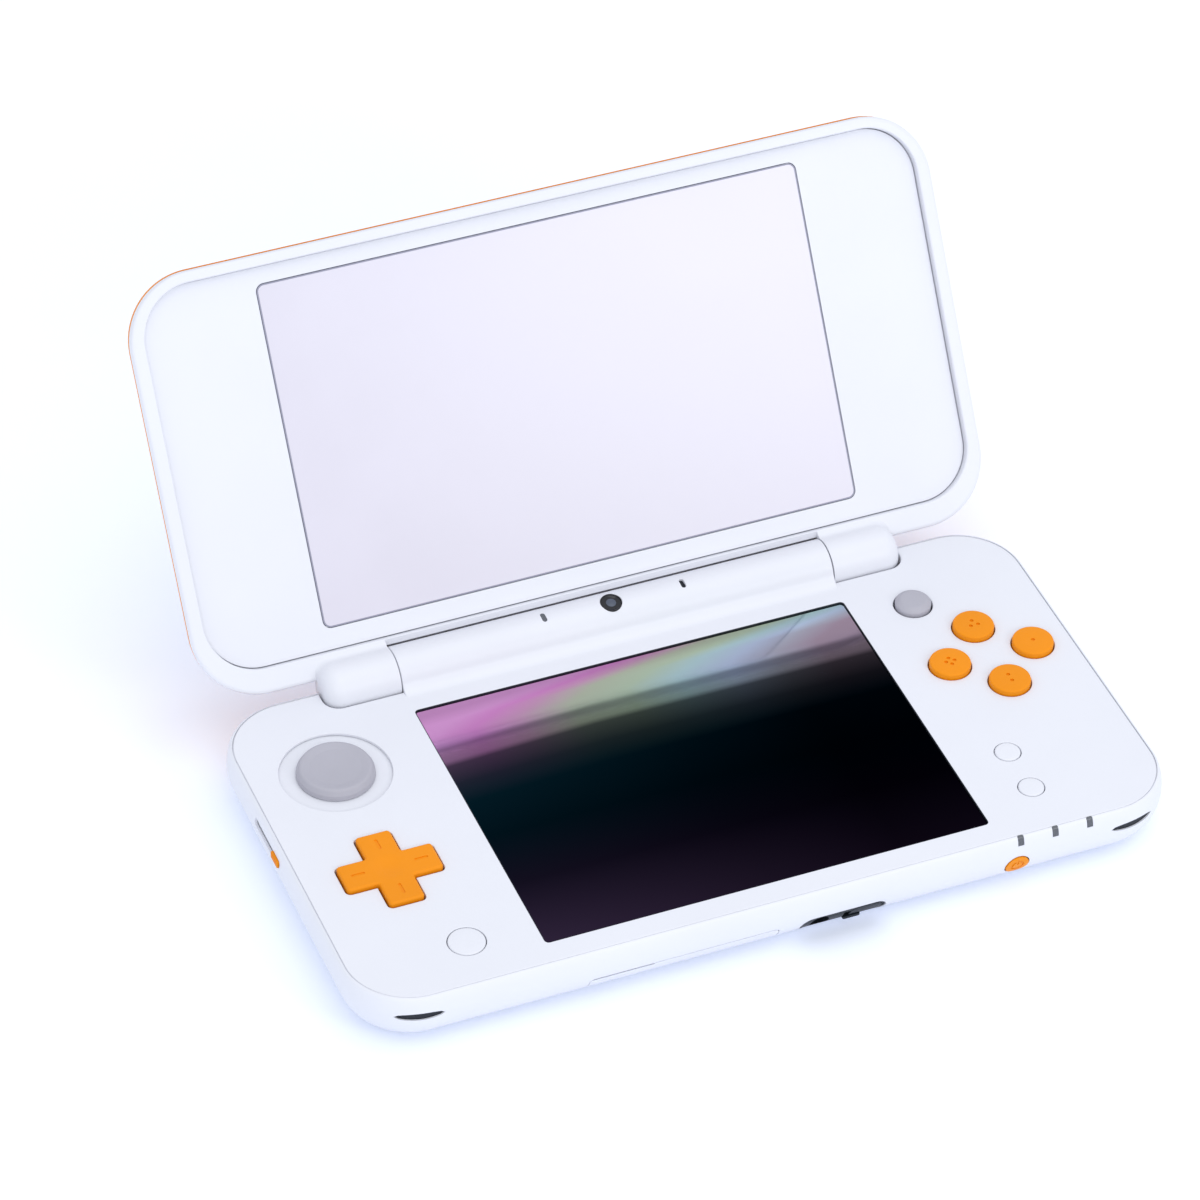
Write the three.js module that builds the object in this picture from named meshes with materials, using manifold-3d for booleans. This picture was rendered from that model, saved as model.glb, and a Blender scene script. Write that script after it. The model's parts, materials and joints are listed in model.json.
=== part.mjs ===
// Two-screen clamshell handheld game console, in millimetres.
// Frame: +X to the player's right, +Y towards the hinge, +Z up. The origin is on the flat
// underside, straight below the centre line of the lower screen. The lid stands open.

import * as THREE from 'three';
import { mergeVertices } from 'three/addons/utils/BufferGeometryUtils.js';
import Module from 'manifold-3d';

const wasm = await Module();
wasm.setup();

// ---- driving dimensions ------------------------------------------------------------------

const WIDTH = 159.4;                 // both halves
const BASE_FRONT = -38.3;
const BASE_REAR = 44.1;
const BASE_THICK = 12.4;             // underside to face
const CORNER = 13.1;                 // plan radius of every outer corner
const BELLY_IN = 8.0;                // how far the underside's flat lies inside the outline
const BELLY_HIGH = 8.6;              // height at which the side wall is widest
const SEAM_IN = 1.1;                 // outline to the face plate's seam
const SEAM_GAP = 0.15;
const WALL = 1.6;
const FLOOR = 1.4;
const FACE_THICK = 1.4;
const FACE_BOTTOM = BASE_THICK - FACE_THICK;

const HINGE_Y = 43.3;
const HINGE_Z = 12.35;
const BARREL_R = 5.1;
const BARREL_END = 43.3;             // half length of the fixed barrel
const KNUCKLE_END = 57.9;            // outer end of each lid knuckle
const BARREL_GAP = 0.35;
const FILLET_R = 3.0;                // face plate to barrel
const PIN_R = 1.5;

const LID_OPEN_DEG = 123.3;          // angle from closed
const RIM_Z = -0.45;                 // lid frame: +Y up the lid, +Z out of its inner face
const PANEL_Z = -1.95;
const LID_BACK_Z = RIM_Z - 8.0;
const LID_LOW = 1.8;
const LID_HIGH = 81.4;
const BAND_LOW_Z = -2.2;             // the frame's outer band ends here and the trim begins
const BAND_IN = 0.16;                // the band lies this far inside the trim's outline
const FRAME_BACK_Z = -5.1;           // rear edge of the frame's skirt, inside the trim
const SKIRT_IN = 2.2;
const FRAME_GAP = 0.3;
const TRIM_FACE_IN = 6.5;            // width of the coloured trim seen from behind

const SCREEN_X = -0.4;
const LOWER_W = 86.2;
const LOWER_H = 65.0;
const UPPER_W = 107.9;
const UPPER_H = 65.4;

const PAD = { x: -62.65, y: 22.05, ring: 10.4, cap: 7.3, skirt: 12.75, travel: 1.6 };
const CROSS = { x: -62.5, y: -5.2, span: 18.2, arm: 6.6, top: 13.2 };
const CLUSTER = { x: 62.45, y: 8.9, dx: 8.5, dy: 8.02, r: 3.92, top: 13.55 };
const NUB = { x: 54.65, y: 26.95, r: 3.42, top: 14.0 };
const HOME = { x: -56.3, y: -27.0, r: 3.42 };
const START = { x: 53.9, y: -16.3, r: 2.4 };
const SELECT = { x: 53.9, y: -26.35, r: 2.4 };
const LIGHTS = { x: 53.35, pitch: 6.875, half: 0.56, low: 10.65 };
const POWER = { x: 46.1, z: 5.8, r: 2.25, front: -38.5, inner: -34.6, flange: 0.5 };
const PORTS = { x: 12.1, z: 4.0, w: 16.8, h: 4.4, floor: -32.9 };
const JACK = { x: 7.6, r: 1.75 };
const STYLUS = { x: 16.6, w: 6.4, h: 3.2, nib: 6, back: 35.0 };
const LIP = { x0: 12.4, x1: 15.8, front: -36.6, inner: -34.1, z0: 2.5, z1: 3.1 };   // the stylus's nail lip
const CARD = { x0: -36.6, x1: -2.6, z0: 1.8, z1: 5.86, front: -30.4, back: 4.6 };
const FLAP = { x0: -37.0, x1: -0.7, z0: 1.5, z1: 5.9 };
const VOLUME = { y0: 5.5, y1: 18.1, z: 9.65, knob: 3.3, half: 0.7 };

// ---- materials ---------------------------------------------------------------------------

function material(color, roughness, metalness = 0) {
  return new THREE.MeshStandardMaterial({ color, roughness, metalness });
}

const WHITE = material(0xf3f4f8, 0.42);
const ORANGE = material(0xf29a14, 0.4);
const GREY = material(0xa9adb6, 0.55);
const DARK = material(0x2a2c31, 0.45);
const GLASS_DARK = material(0x08090c, 0.06);
const GLASS_PALE = material(0xe4e2f2, 0.12);
const BOARD = material(0x1f5a3a, 0.6);
const STEEL = material(0xb8bbc0, 0.3, 1);
const RUBBER = material(0x8d9096, 0.8);

// ---- solids ------------------------------------------------------------------------------

function toSolid(geometry) {
  const bare = geometry.clone();
  bare.deleteAttribute('normal');
  bare.deleteAttribute('uv');
  const merged = mergeVertices(bare, 1e-4);
  const vertProperties = new Float32Array(merged.attributes.position.array);
  const triVerts = new Uint32Array(merged.index.array);
  if (signedVolume(vertProperties, triVerts) < 0) {
    for (let i = 0; i < triVerts.length; i += 3) {
      [triVerts[i], triVerts[i + 1]] = [triVerts[i + 1], triVerts[i]];
    }
  }
  return new wasm.Manifold(new wasm.Mesh({ numProp: 3, vertProperties, triVerts }));
}

function signedVolume(points, triangles) {
  const corner = (i) => new THREE.Vector3().fromArray(points, 3 * i);
  let total = 0;
  for (let i = 0; i < triangles.length; i += 3) {
    const a = corner(triangles[i]);
    total += a.dot(corner(triangles[i + 1]).cross(corner(triangles[i + 2])));
  }
  return total;
}

function toMesh(name, solid, look) {
  const mesh = solid.getMesh();
  const geometry = new THREE.BufferGeometry();
  geometry.setAttribute('position', new THREE.BufferAttribute(mesh.vertProperties, 3));
  geometry.setIndex(new THREE.BufferAttribute(mesh.triVerts, 1));
  const part = new THREE.Mesh(geometry, look);
  part.name = name;
  return part;
}

function box(x0, x1, y0, y1, z0, z1) {
  const geometry = new THREE.BoxGeometry(x1 - x0, y1 - y0, z1 - z0);
  geometry.translate((x0 + x1) / 2, (y0 + y1) / 2, (z0 + z1) / 2);
  return toSolid(geometry);
}

function disc(x, y, r, z0, z1, sides = 20) {
  const geometry = new THREE.CylinderGeometry(r, r, z1 - z0, sides);
  geometry.rotateX(Math.PI / 2);
  geometry.translate(x, y, (z0 + z1) / 2);
  return toSolid(geometry);
}

// A solid of revolution about a vertical axis; the profile is [radius, z] pairs.
function turned(x, y, profile, sides = 20) {
  const points = profile.map(([r, z]) => new THREE.Vector2(r, z));
  const geometry = new THREE.LatheGeometry(points, sides);
  geometry.rotateX(Math.PI / 2);
  geometry.translate(x, y, 0);
  return toSolid(geometry);
}

// A solid of revolution about the hinge's direction; the profile is [radius, x] pairs.
function turnedAlongX(y, z, profile, sides = 24) {
  const points = profile.map(([r, x]) => new THREE.Vector2(r, x));
  const geometry = new THREE.LatheGeometry(points, sides);
  geometry.rotateZ(-Math.PI / 2);
  geometry.translate(0, y, z);
  return toSolid(geometry);
}

function rod(r, x0, x1, y, z, sides = 24) {
  return turnedAlongX(y, z, [[0, x0], [r, x0], [r, x1], [0, x1]], sides);
}

function roundRect(x0, x1, y0, y1, r) {
  const shape = new THREE.Shape();
  shape.moveTo(x0 + r, y0);
  shape.lineTo(x1 - r, y0);
  shape.absarc(x1 - r, y0 + r, r, -Math.PI / 2, 0);
  shape.lineTo(x1, y1 - r);
  shape.absarc(x1 - r, y1 - r, r, 0, Math.PI / 2);
  shape.lineTo(x0 + r, y1);
  shape.absarc(x0 + r, y1 - r, r, Math.PI / 2, Math.PI);
  shape.lineTo(x0, y0 + r);
  shape.absarc(x0 + r, y0 + r, r, Math.PI, 1.5 * Math.PI);
  return shape;
}

function plate(shape, z0, z1, curveSegments = 5) {
  const geometry = new THREE.ExtrudeGeometry(shape, { depth: z1 - z0, bevelEnabled: false, curveSegments });
  geometry.translate(0, 0, z0);
  return toSolid(geometry);
}

// An outline in X and Z, pushed through from y0 to y1.
function through(shape, y0, y1, curveSegments = 4) {
  const geometry = new THREE.ExtrudeGeometry(shape, { depth: y1 - y0, bevelEnabled: false, curveSegments });
  geometry.rotateX(Math.PI / 2);
  geometry.translate(0, y1, 0);
  return toSolid(geometry);
}

// An outline in Y and Z, pushed along X from x0 to x1.
function along(shape, x0, x1, curveSegments = 6) {
  const geometry = new THREE.ExtrudeGeometry(shape, { depth: x1 - x0, bevelEnabled: false, curveSegments });
  geometry.applyMatrix4(new THREE.Matrix4().set(0, 0, 1, x0, 1, 0, 0, 0, 0, 1, 0, 0, 0, 0, 0, 1));
  return toSolid(geometry);
}

function slab(x, y, w, h, r, z0, z1, curveSegments = 2) {
  return plate(roundRect(x - w / 2, x + w / 2, y - h / 2, y + h / 2, r), z0, z1, curveSegments);
}

function ringPoints(area, inset, z, steps) {
  const r = Math.max(area.r - inset, 3);
  const centres = [
    [area.x1 - inset - r, area.y1 - inset - r],
    [area.x0 + inset + r, area.y1 - inset - r],
    [area.x0 + inset + r, area.y0 + inset + r],
    [area.x1 - inset - r, area.y0 + inset + r],
  ];
  const points = [];
  centres.forEach(([cx, cy], quarter) => {
    for (let i = 0; i <= steps; i += 1) {
      const turn = (quarter + i / steps) * Math.PI / 2;
      points.push(cx + r * Math.cos(turn), cy + r * Math.sin(turn), z);
    }
  });
  return points;
}

// A rounded-rectangle body whose outline draws in by a set amount at each height.
function loft(area, levels, steps = 6) {
  const ring = 4 * (steps + 1);
  const positions = levels.flatMap(([z, inset]) => ringPoints(area, inset, z, steps));
  const middle = [(area.x0 + area.x1) / 2, (area.y0 + area.y1) / 2];
  positions.push(...middle, levels[0][0], ...middle, levels[levels.length - 1][0]);
  const lowest = levels.length * ring;
  const top = (levels.length - 1) * ring;
  const index = [];
  for (let i = 0; i < ring; i += 1) {
    const next = (i + 1) % ring;
    index.push(lowest, next, i, lowest + 1, top + i, top + next);
    for (let level = 0; level < levels.length - 1; level += 1) {
      const a = level * ring;
      const b = a + ring;
      index.push(a + i, a + next, b + next, a + i, b + next, b + i);
    }
  }
  const geometry = new THREE.BufferGeometry();
  geometry.setAttribute('position', new THREE.Float32BufferAttribute(positions, 3));
  geometry.setIndex(index);
  return toSolid(geometry);
}

function sum(solids) {
  return solids.reduce((whole, piece) => whole.add(piece));
}

function cut(solid, ...tools) {
  return tools.reduce((left, tool) => left.subtract(tool), solid);
}

// ---- shared outlines ---------------------------------------------------------------------

const BASE_AREA = { x0: -WIDTH / 2, x1: WIDTH / 2, y0: BASE_FRONT, y1: BASE_REAR, r: CORNER };
const LID_AREA = { x0: -WIDTH / 2, x1: WIDTH / 2, y0: LID_LOW, y1: LID_HIGH, r: CORNER };

function quarterLevels(count, level) {
  return Array.from({ length: count + 1 }, (_, i) => level(i / count * Math.PI / 2));
}

// Side wall of the base: a deep belly curve below, a small rounded shoulder above.
function caseLevels(grow = 0) {
  const shoulder = BASE_THICK - BELLY_HIGH;
  const belly = quarterLevels(7, (t) => [
    BELLY_HIGH * (1 - Math.cos(t)),
    BELLY_IN * (1 - Math.sin(t)) - grow,
  ]);
  const upper = quarterLevels(4, (t) => [
    BELLY_HIGH + shoulder * Math.sin(t),
    SEAM_IN * (1 - Math.cos(t)) - grow,
  ]);
  return [...belly, ...upper.slice(1)];
}

function cavityLevels(inset) {
  const belly = quarterLevels(5, (t) => [
    BELLY_HIGH - (BELLY_HIGH - FLOOR) * Math.cos(t),
    BELLY_IN - (BELLY_IN - inset) * Math.sin(t),
  ]);
  return [...belly, [FACE_BOTTOM + 0.02, inset + 0.8]];
}

function caseOuter(grow = 0) {
  return loft(BASE_AREA, caseLevels(grow));
}

// A piece of the base's own side wall, between two offsets of its outline.
function wallPiece(grow, thick, limits) {
  const inner = loft(BASE_AREA, [[-1, thick + BELLY_IN], ...cavityLevels(thick).slice(1), [14, thick + 0.8]]);
  return cut(caseOuter(grow).intersect(box(...limits)), inner);
}

// ---- base shell --------------------------------------------------------------------------

const KNUCKLE_POCKET_IN = BARREL_END - 0.05;
const KNUCKLE_POCKET_OUT = KNUCKLE_END + BARREL_GAP;
const POCKET_FRONT = HINGE_Y - BARREL_R - BARREL_GAP;
const POCKET_FLOOR = HINGE_Z - BARREL_R - BARREL_GAP;
const KNUCKLE_ROUND = 3.2;

// Room for one lid knuckle, open to the rear and above, with a round outer front corner.
function knucklePocket(side, grow = 0) {
  const shape = new THREE.Shape();
  const x1 = KNUCKLE_POCKET_OUT + grow;
  const y0 = POCKET_FRONT - grow;
  const r = KNUCKLE_ROUND;
  shape.moveTo(0, y0);
  shape.lineTo(x1 - r, y0);
  shape.absarc(x1 - r, y0 + r, r, -Math.PI / 2, 0);
  shape.lineTo(x1, 60);
  shape.lineTo(0, 60);
  shape.closePath();
  const pocket = plate(shape, POCKET_FLOOR - grow, 30, 5);
  const half = cut(pocket, box(-1, KNUCKLE_POCKET_IN - grow, 0, 61, -1, 31));
  return side < 0 ? half.mirror([1, 0, 0]) : half;
}

function barrelBay() {
  return box(-BARREL_END - 0.1, BARREL_END + 0.1, POCKET_FRONT, 60, POCKET_FLOOR, 30);
}

function pocketLiner(side) {
  const thick = 1.2;
  const block = knucklePocket(side, thick).intersect(box(-80, 80, 30, 60, 1, FACE_BOTTOM - 0.05));
  return block.intersect(caseOuter());
}

function portOutline(grow = 0) {
  const w = PORTS.w / 2 + grow;
  const h = PORTS.h / 2 + grow;
  return roundRect(PORTS.x - w, PORTS.x + w, PORTS.z - h, PORTS.z + h, h - 0.01);
}

function stylusOutline(grow) {
  const w = STYLUS.w / 2 + grow;
  const h = STYLUS.h / 2 + grow;
  return roundRect(STYLUS.x - w, STYLUS.x + w, PORTS.z - h, PORTS.z + h, h - 0.01);
}

const SHOULDER = { x0: -80.5, x1: -60.4, y0: 37.9, z0: 5.2, z1: 10.4, thick: 2.4, proud: 0.3 };
const TRIGGER = { x0: -56.6, x1: -45.4, z0: 2.4, z1: 6.0, thick: 2.6, proud: 0.5 };
const MOVING_GAP = 0.3;
const PORT_INSERT_THICK = 1.3;
const PORT_INSERT_FLANGE = 0.6;
const PORT_FACE_DEEP = 0.15;           // the insert's face follows the wall, this far inside it

function mirrored(limits) {
  const [x0, x1, ...rest] = limits;
  return [-x1, -x0, ...rest];
}

function shoulderLimits(side, grow) {
  const limits = [
    SHOULDER.x0, SHOULDER.x1 + 2.2 * grow, SHOULDER.y0 - grow, 50,
    SHOULDER.z0 - grow, SHOULDER.z1 + grow,
  ];
  return side < 0 ? limits : mirrored(limits);
}

function triggerLimits(side, grow) {
  const limits = [
    TRIGGER.x0 - grow, TRIGGER.x1 + grow, 30, 50,
    TRIGGER.z0 - grow, TRIGGER.z1 + grow,
  ];
  return side < 0 ? limits : mirrored(limits);
}

const LIGHT_SPOTS = [-1, 0, 1].map((i) => LIGHTS.x + i * LIGHTS.pitch);

function lightLimits(x, grow = 0) {
  const half = LIGHTS.half + grow;
  return [x - half, x + half, BASE_FRONT - 1, BASE_FRONT + SEAM_IN + 0.6 * SEAM_GAP, LIGHTS.low - grow, 13];
}

const SPEAKER_SLOT = { z0: 7.85, z1: 9.1, inner: 64.6, outer: 73.3 };

function speakerSlot(side) {
  const { z0, z1, inner, outer } = SPEAKER_SLOT;
  const limits = [-outer, -inner, BASE_FRONT - 1, -28, z0, z1];
  return box(...(side < 0 ? limits : mirrored(limits)));
}

const OUTER_CAMERAS = [-56, -46];
const OUTER_CAMERA_Y = 27.0;
const INLET = { x: 0, w: 8.4, h: 3.4, z: 3.9 };
const INFRARED = { x: 18, w: 7.0, h: 3.0, z: 4.0 };
const SCREWS = [[-64, -12], [64, -12], [-64, 20], [64, 20]];

function rearOutline({ x, z, w, h }, grow = 0) {
  return roundRect(x - w / 2 - grow, x + w / 2 + grow, z - h / 2 - grow, z + h / 2 + grow, 1);
}

function screwSeat([x, y]) {
  return disc(x, y, 2.0, -1, 0.7, 14).add(disc(x, y, 0.9, 0, 4, 10));
}

function screwPost([x, y]) {
  return disc(x, y, 2.4, FLOOR - 0.3, 7.0, 12);
}

function lowerCase() {
  const shell = cut(
    caseOuter(),
    loft(BASE_AREA, cavityLevels(WALL)),
    loft(BASE_AREA, [[FACE_BOTTOM, SEAM_IN - 0.02], [14, SEAM_IN - 0.02]]),
  );
  const body = sum([shell, pocketLiner(-1), pocketLiner(1), ...SCREWS.map(screwPost)]);
  const sides = [-1, 1];
  return cut(
    body,
    barrelBay(),
    ...sides.map((side) => knucklePocket(side)),
    ...sides.map((side) => box(...shoulderLimits(side, MOVING_GAP))),
    ...sides.map((side) => box(...triggerLimits(side, MOVING_GAP))),
    ...sides.map(speakerSlot),
    ...LIGHT_SPOTS.map((x) => box(...lightLimits(x, 0.05))),
    ...SCREWS.map(screwSeat),
    ...OUTER_CAMERAS.map((x) => disc(x, OUTER_CAMERA_Y, 3.1, -1, 3, 16)),
    through(portOutline(), -40, PORTS.floor),
    through(portOutline(PORT_INSERT_FLANGE + 0.1), PORTS.floor - 0.1, -29),
    rodAlongY(POWER.x, POWER.z, POWER.r + 0.2, -40, -34, 20),
    through(rearOutline(INLET, 0.1), 34, 50),
    through(rearOutline(INFRARED, 0.1), 34, 50),
    box(FLAP.x0 - 0.3, FLAP.x1 + 0.3, -40, -28, FLAP.z0 - 0.3, FLAP.z1 + 0.3),
    box(-81, -76, VOLUME.y0 - 0.3, VOLUME.y1, VOLUME.z - VOLUME.half - 0.2, VOLUME.z + VOLUME.half + 0.2),
  );
}

// ---- face plate with the hinge barrel ----------------------------------------------------

function circleHole(x, y, r) {
  const path = new THREE.Path();
  path.absarc(x, y, r, 0, 2 * Math.PI, true);
  return path;
}

function crossOutline(Kind, grow) {
  const a = CROSS.arm / 2 + grow;
  const b = CROSS.span / 2 + grow;
  const corners = [
    [a, -b], [a, -a], [b, -a], [b, a], [a, a], [a, b],
    [-a, b], [-a, a], [-b, a], [-b, -a], [-a, -a], [-a, -b],
  ];
  const path = new Kind();
  corners.forEach(([x, y], i) => {
    path[i ? 'lineTo' : 'moveTo'](CROSS.x + x, CROSS.y + y);
  });
  path.closePath();
  return path;
}

const CLUSTER_SPOTS = {
  button_north: [CLUSTER.x, CLUSTER.y + CLUSTER.dy],
  button_east: [CLUSTER.x + CLUSTER.dx, CLUSTER.y],
  button_south: [CLUSTER.x, CLUSTER.y - CLUSTER.dy],
  button_west: [CLUSTER.x - CLUSTER.dx, CLUSTER.y],
};

const PAD_SKIRT_DEEP = 0.5;
const PAD_REACH = PAD.travel * Math.SQRT2;
const HOLE_POINTS = 12;               // per half turn of a round hole

function faceHoles() {
  const round = [
    [PAD.x, PAD.y, PAD.ring],
    [NUB.x, NUB.y, NUB.r + 0.3],
    [HOME.x, HOME.y, HOME.r + 0.15],
    [START.x, START.y, START.r + 0.15],
    [SELECT.x, SELECT.y, SELECT.r + 0.15],
    ...Object.values(CLUSTER_SPOTS).map(([x, y]) => [x, y, CLUSTER.r + 0.2]),
  ];
  return [...round.map((hole) => circleHole(...hole)), crossOutline(THREE.Path, 0.35)];
}

// Cross-section of the soft fillet between the face and the barrel, in Y and Z.
function filletOutline() {
  const rise = FILLET_R + BASE_THICK - HINGE_Z;
  const reach = BARREL_R + FILLET_R;
  const centre = { y: HINGE_Y - Math.sqrt(reach * reach - rise * rise), z: BASE_THICK + FILLET_R };
  const meet = Math.atan2(HINGE_Z - centre.z, HINGE_Y - centre.y);
  const shape = new THREE.Shape();
  shape.moveTo(centre.y, FACE_BOTTOM);
  shape.lineTo(centre.y, BASE_THICK);
  shape.absarc(centre.y, centre.z, FILLET_R, -Math.PI / 2, meet, false);
  shape.lineTo(HINGE_Y - 3.9, HINGE_Z);
  shape.lineTo(HINGE_Y - 3.9, FACE_BOTTOM);
  shape.closePath();
  return shape;
}

// A short round plug standing radially on the barrel; angle is from +Y round towards +Z.
function radialPlug(x, angleDeg, r, from, to, sides = 16) {
  const geometry = new THREE.CylinderGeometry(r, r, to - from, sides);
  geometry.translate(0, (from + to) / 2, 0);
  geometry.rotateX(THREE.MathUtils.degToRad(angleDeg));
  geometry.translate(x, HINGE_Y, HINGE_Z);
  return toSolid(geometry);
}

const LENS = { x: -0.4, angle: 99, r: 2.15 };
const MICROPHONE = { x: -13.8, angle: 95 };
const NOTICE_LIGHT = { x: 14.1, angle: 97 };
const BARREL_SLOT = { w: 0.8, h: 1.9 };

// A narrow round-ended plug standing radially on the barrel, its length round the barrel.
function radialSlot({ x, angle }, grow, from, to) {
  const w = BARREL_SLOT.w / 2 + grow;
  const h = BARREL_SLOT.h / 2 + grow;
  const shape = roundRect(-w, w, -h, h, w - 0.01);
  const geometry = new THREE.ExtrudeGeometry(shape, { depth: to - from, bevelEnabled: false, curveSegments: 3 });
  geometry.translate(0, 0, from);
  geometry.rotateX(THREE.MathUtils.degToRad(angle - 90));
  geometry.translate(x, HINGE_Y, HINGE_Z);
  return toSolid(geometry);
}

function facePlate() {
  const inset = SEAM_IN + SEAM_GAP;
  const sheet = cut(
    loft(BASE_AREA, [[FACE_BOTTOM, inset], [BASE_THICK, inset]], 8),
    slab(SCREEN_X, 0, LOWER_W, LOWER_H, 1.5, 0, 20),
    ...faceHoles().map((path) => plate(new THREE.Shape(path.getPoints(HOLE_POINTS)), 0, 20)),
    disc(PAD.x, PAD.y, PAD.skirt + PAD_REACH + 0.2, 0, BASE_THICK - PAD_SKIRT_DEEP, 28),
    box(-BARREL_END - 0.1, BARREL_END + 0.1, HINGE_Y - 3.95, 60, 0, 20),
    knucklePocket(-1),
    knucklePocket(1),
  );
  const barrel = rod(BARREL_R, -BARREL_END, BARREL_END, HINGE_Y, HINGE_Z, 36);
  return cut(
    sum([sheet, along(filletOutline(), -BARREL_END, BARREL_END), barrel]),
    rod(3.6, -60, 60, HINGE_Y, HINGE_Z, 20),
    radialPlug(LENS.x, LENS.angle, LENS.r + 0.1, 2, 8),
    radialSlot(MICROPHONE, 0, 2, 8),
    radialSlot(NOTICE_LIGHT, 0.05, 2, 8),
  );
}

// ---- controls ----------------------------------------------------------------------------

const KEY_FLANGE = { out: 0.75, z0: 9.8, z1: 10.5 };

function roundButton(x, y, r, top, sides = 20) {
  const edge = Math.min(0.45, r / 6);
  const { out, z0, z1 } = KEY_FLANGE;
  return turned(x, y, [
    [0, z0], [r + out, z0], [r + out, z1], [r, z1],
    [r, top - edge], [r - edge, top - 0.08], [0, top],
  ], sides);
}

function circlePadSkirt() {
  const under = BASE_THICK - PAD_SKIRT_DEEP - 0.15;
  return cut(
    disc(PAD.x, PAD.y, PAD.skirt, under - 0.7, under, 28),
    disc(PAD.x, PAD.y, 3.3, 0, 20, 14),
  );
}

function circlePadCap() {
  const low = BASE_THICK - 0.45;
  const top = 14.05;
  return turned(PAD.x, PAD.y, [
    [0, 10.1], [3.0, 10.1], [3.0, low], [PAD.cap, low], [PAD.cap, low + 0.5],
    [PAD.cap - 0.25, top - 0.4], [PAD.cap - 0.6, top], [PAD.cap - 1.3, top - 0.1],
    [PAD.cap - 2.0, top - 0.4], [0, top - 0.7],
  ], 28);
}

function circlePadModule() {
  const bowl = slab(PAD.x, PAD.y, 26, 26, 3, 7.9, 10.95);
  return cut(bowl, slab(PAD.x, PAD.y, 24, 24, 2, 8.7, 12));
}

function circlePadCarriage() {
  return cut(slab(PAD.x, PAD.y, 12, 12, 1, 8.9, 9.9), disc(PAD.x, PAD.y, 1.2, 8, 11, 12));
}

function directionPad() {
  const body = plate(crossOutline(THREE.Shape, 0), 10.3, CROSS.top);
  const dish = turned(CROSS.x, CROSS.y, [
    [0, CROSS.top - 0.35], [2.4, CROSS.top + 0.05], [2.4, 15], [0, 15],
  ], 16);
  return cut(body, dish, disc(CROSS.x, CROSS.y, 1.5, 10, 11.5, 12));
}

function directionPivot() {
  return turned(CROSS.x, CROSS.y, [
    [0, 9.0], [2.2, 9.0], [2.2, 9.5], [1.0, 10.0], [1.0, 11.2], [0, 11.4],
  ], 12);
}

function pointingNub() {
  return turned(NUB.x, NUB.y, [
    [0, 10.4], [NUB.r - 0.5, 10.4], [NUB.r, 11.6], [NUB.r, NUB.top - 1.0],
    [NUB.r - 0.6, NUB.top - 0.35], [NUB.r - 1.8, NUB.top - 0.05], [0, NUB.top],
  ], 20);
}

function nubStem() {
  return turned(NUB.x, NUB.y, [[0, 8.65], [2.2, 8.65], [2.2, 9.1], [1.0, 9.3], [1.0, 10.1], [0, 10.1]], 12);
}

function powerButton() {
  const { x, z, r, front, inner, flange } = POWER;
  const cap = rodAlongY(x, z, r, front, inner, 20).intersect(caseOuter(0.2));
  return cap.add(rodAlongY(x, z + 0.5, r + 0.25, inner, inner + flange, 20));
}

function volumeSlider() {
  const y1 = VOLUME.y0 + VOLUME.knob;
  const edge = -WIDTH / 2;
  return sum([
    box(edge - 0.35, edge + 2.6, VOLUME.y0, y1, VOLUME.z - VOLUME.half, VOLUME.z + VOLUME.half),
    box(edge + 2.5, edge + 3.2, VOLUME.y0 - 0.8, y1 + 0.8, VOLUME.z - 1.15, VOLUME.z + 1.15),
  ]);
}

function shoulderButton(side) {
  return wallPiece(SHOULDER.proud, SHOULDER.thick, shoulderLimits(side, 0));
}

function triggerButton(side) {
  return wallPiece(TRIGGER.proud, TRIGGER.thick, triggerLimits(side, 0));
}

function cardFlap() {
  return wallPiece(0, 1.3, [FLAP.x0, FLAP.x1, -45, -28, FLAP.z0, FLAP.z1]);
}

// ---- ports, stylus and internals ---------------------------------------------------------

const OUTSIDE = -45;                   // a plane in front of the whole base

function portInsert() {
  const front = PORTS.floor + 0.1;
  const flange = through(portOutline(PORT_INSERT_FLANGE), front, front + PORT_INSERT_THICK);
  const plug = through(portOutline(-0.1), OUTSIDE, front + 0.2).intersect(caseOuter(-PORT_FACE_DEEP));
  return cut(
    flange.add(plug),
    through(stylusOutline(0.25), OUTSIDE, -30),
    box(LIP.x0 - 0.2, LIP.x0 + 2.2, OUTSIDE, LIP.inner + 0.2, LIP.z0 - 0.3, LIP.z1 + 2.1),
    rodAlongY(JACK.x, PORTS.z, JACK.r + 0.1, OUTSIDE, -33),
    rodAlongY(JACK.x, PORTS.z, JACK.r + 0.35, -33.3, -30),
  );
}

function rodAlongY(x, z, r, y0, y1, sides = 14) {
  const geometry = new THREE.CylinderGeometry(r, r, y1 - y0, sides);
  geometry.translate(x, (y0 + y1) / 2, z);
  return toSolid(geometry);
}

function headphoneJack() {
  const behind = PORTS.floor + PORT_INSERT_THICK + 0.3;
  const body = sum([
    rodAlongY(JACK.x, PORTS.z, JACK.r + 0.25, PORTS.floor - 0.2, behind + 0.2),
    box(JACK.x - 2.6, JACK.x + 2.8, behind, behind + 11, PORTS.z - 2.2, PORTS.z + 3.0),
  ]);
  return cut(body, rodAlongY(JACK.x, PORTS.z, JACK.r - 0.05, -40, behind + 9.5));
}

function stylusPen() {
  const end = STYLUS.back - STYLUS.nib;
  const shaft = through(stylusOutline(0), OUTSIDE, end, 4).intersect(caseOuter(-PORT_FACE_DEEP));
  const nib = new THREE.CylinderGeometry(0.7, 1.7, STYLUS.nib, 10);
  nib.translate(STYLUS.x, STYLUS.back - STYLUS.nib / 2, PORTS.z);
  const lip = box(LIP.x0, LIP.x1, LIP.front, LIP.inner, LIP.z0, LIP.z1);
  return sum([shaft, toSolid(nib), lip]);
}

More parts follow.
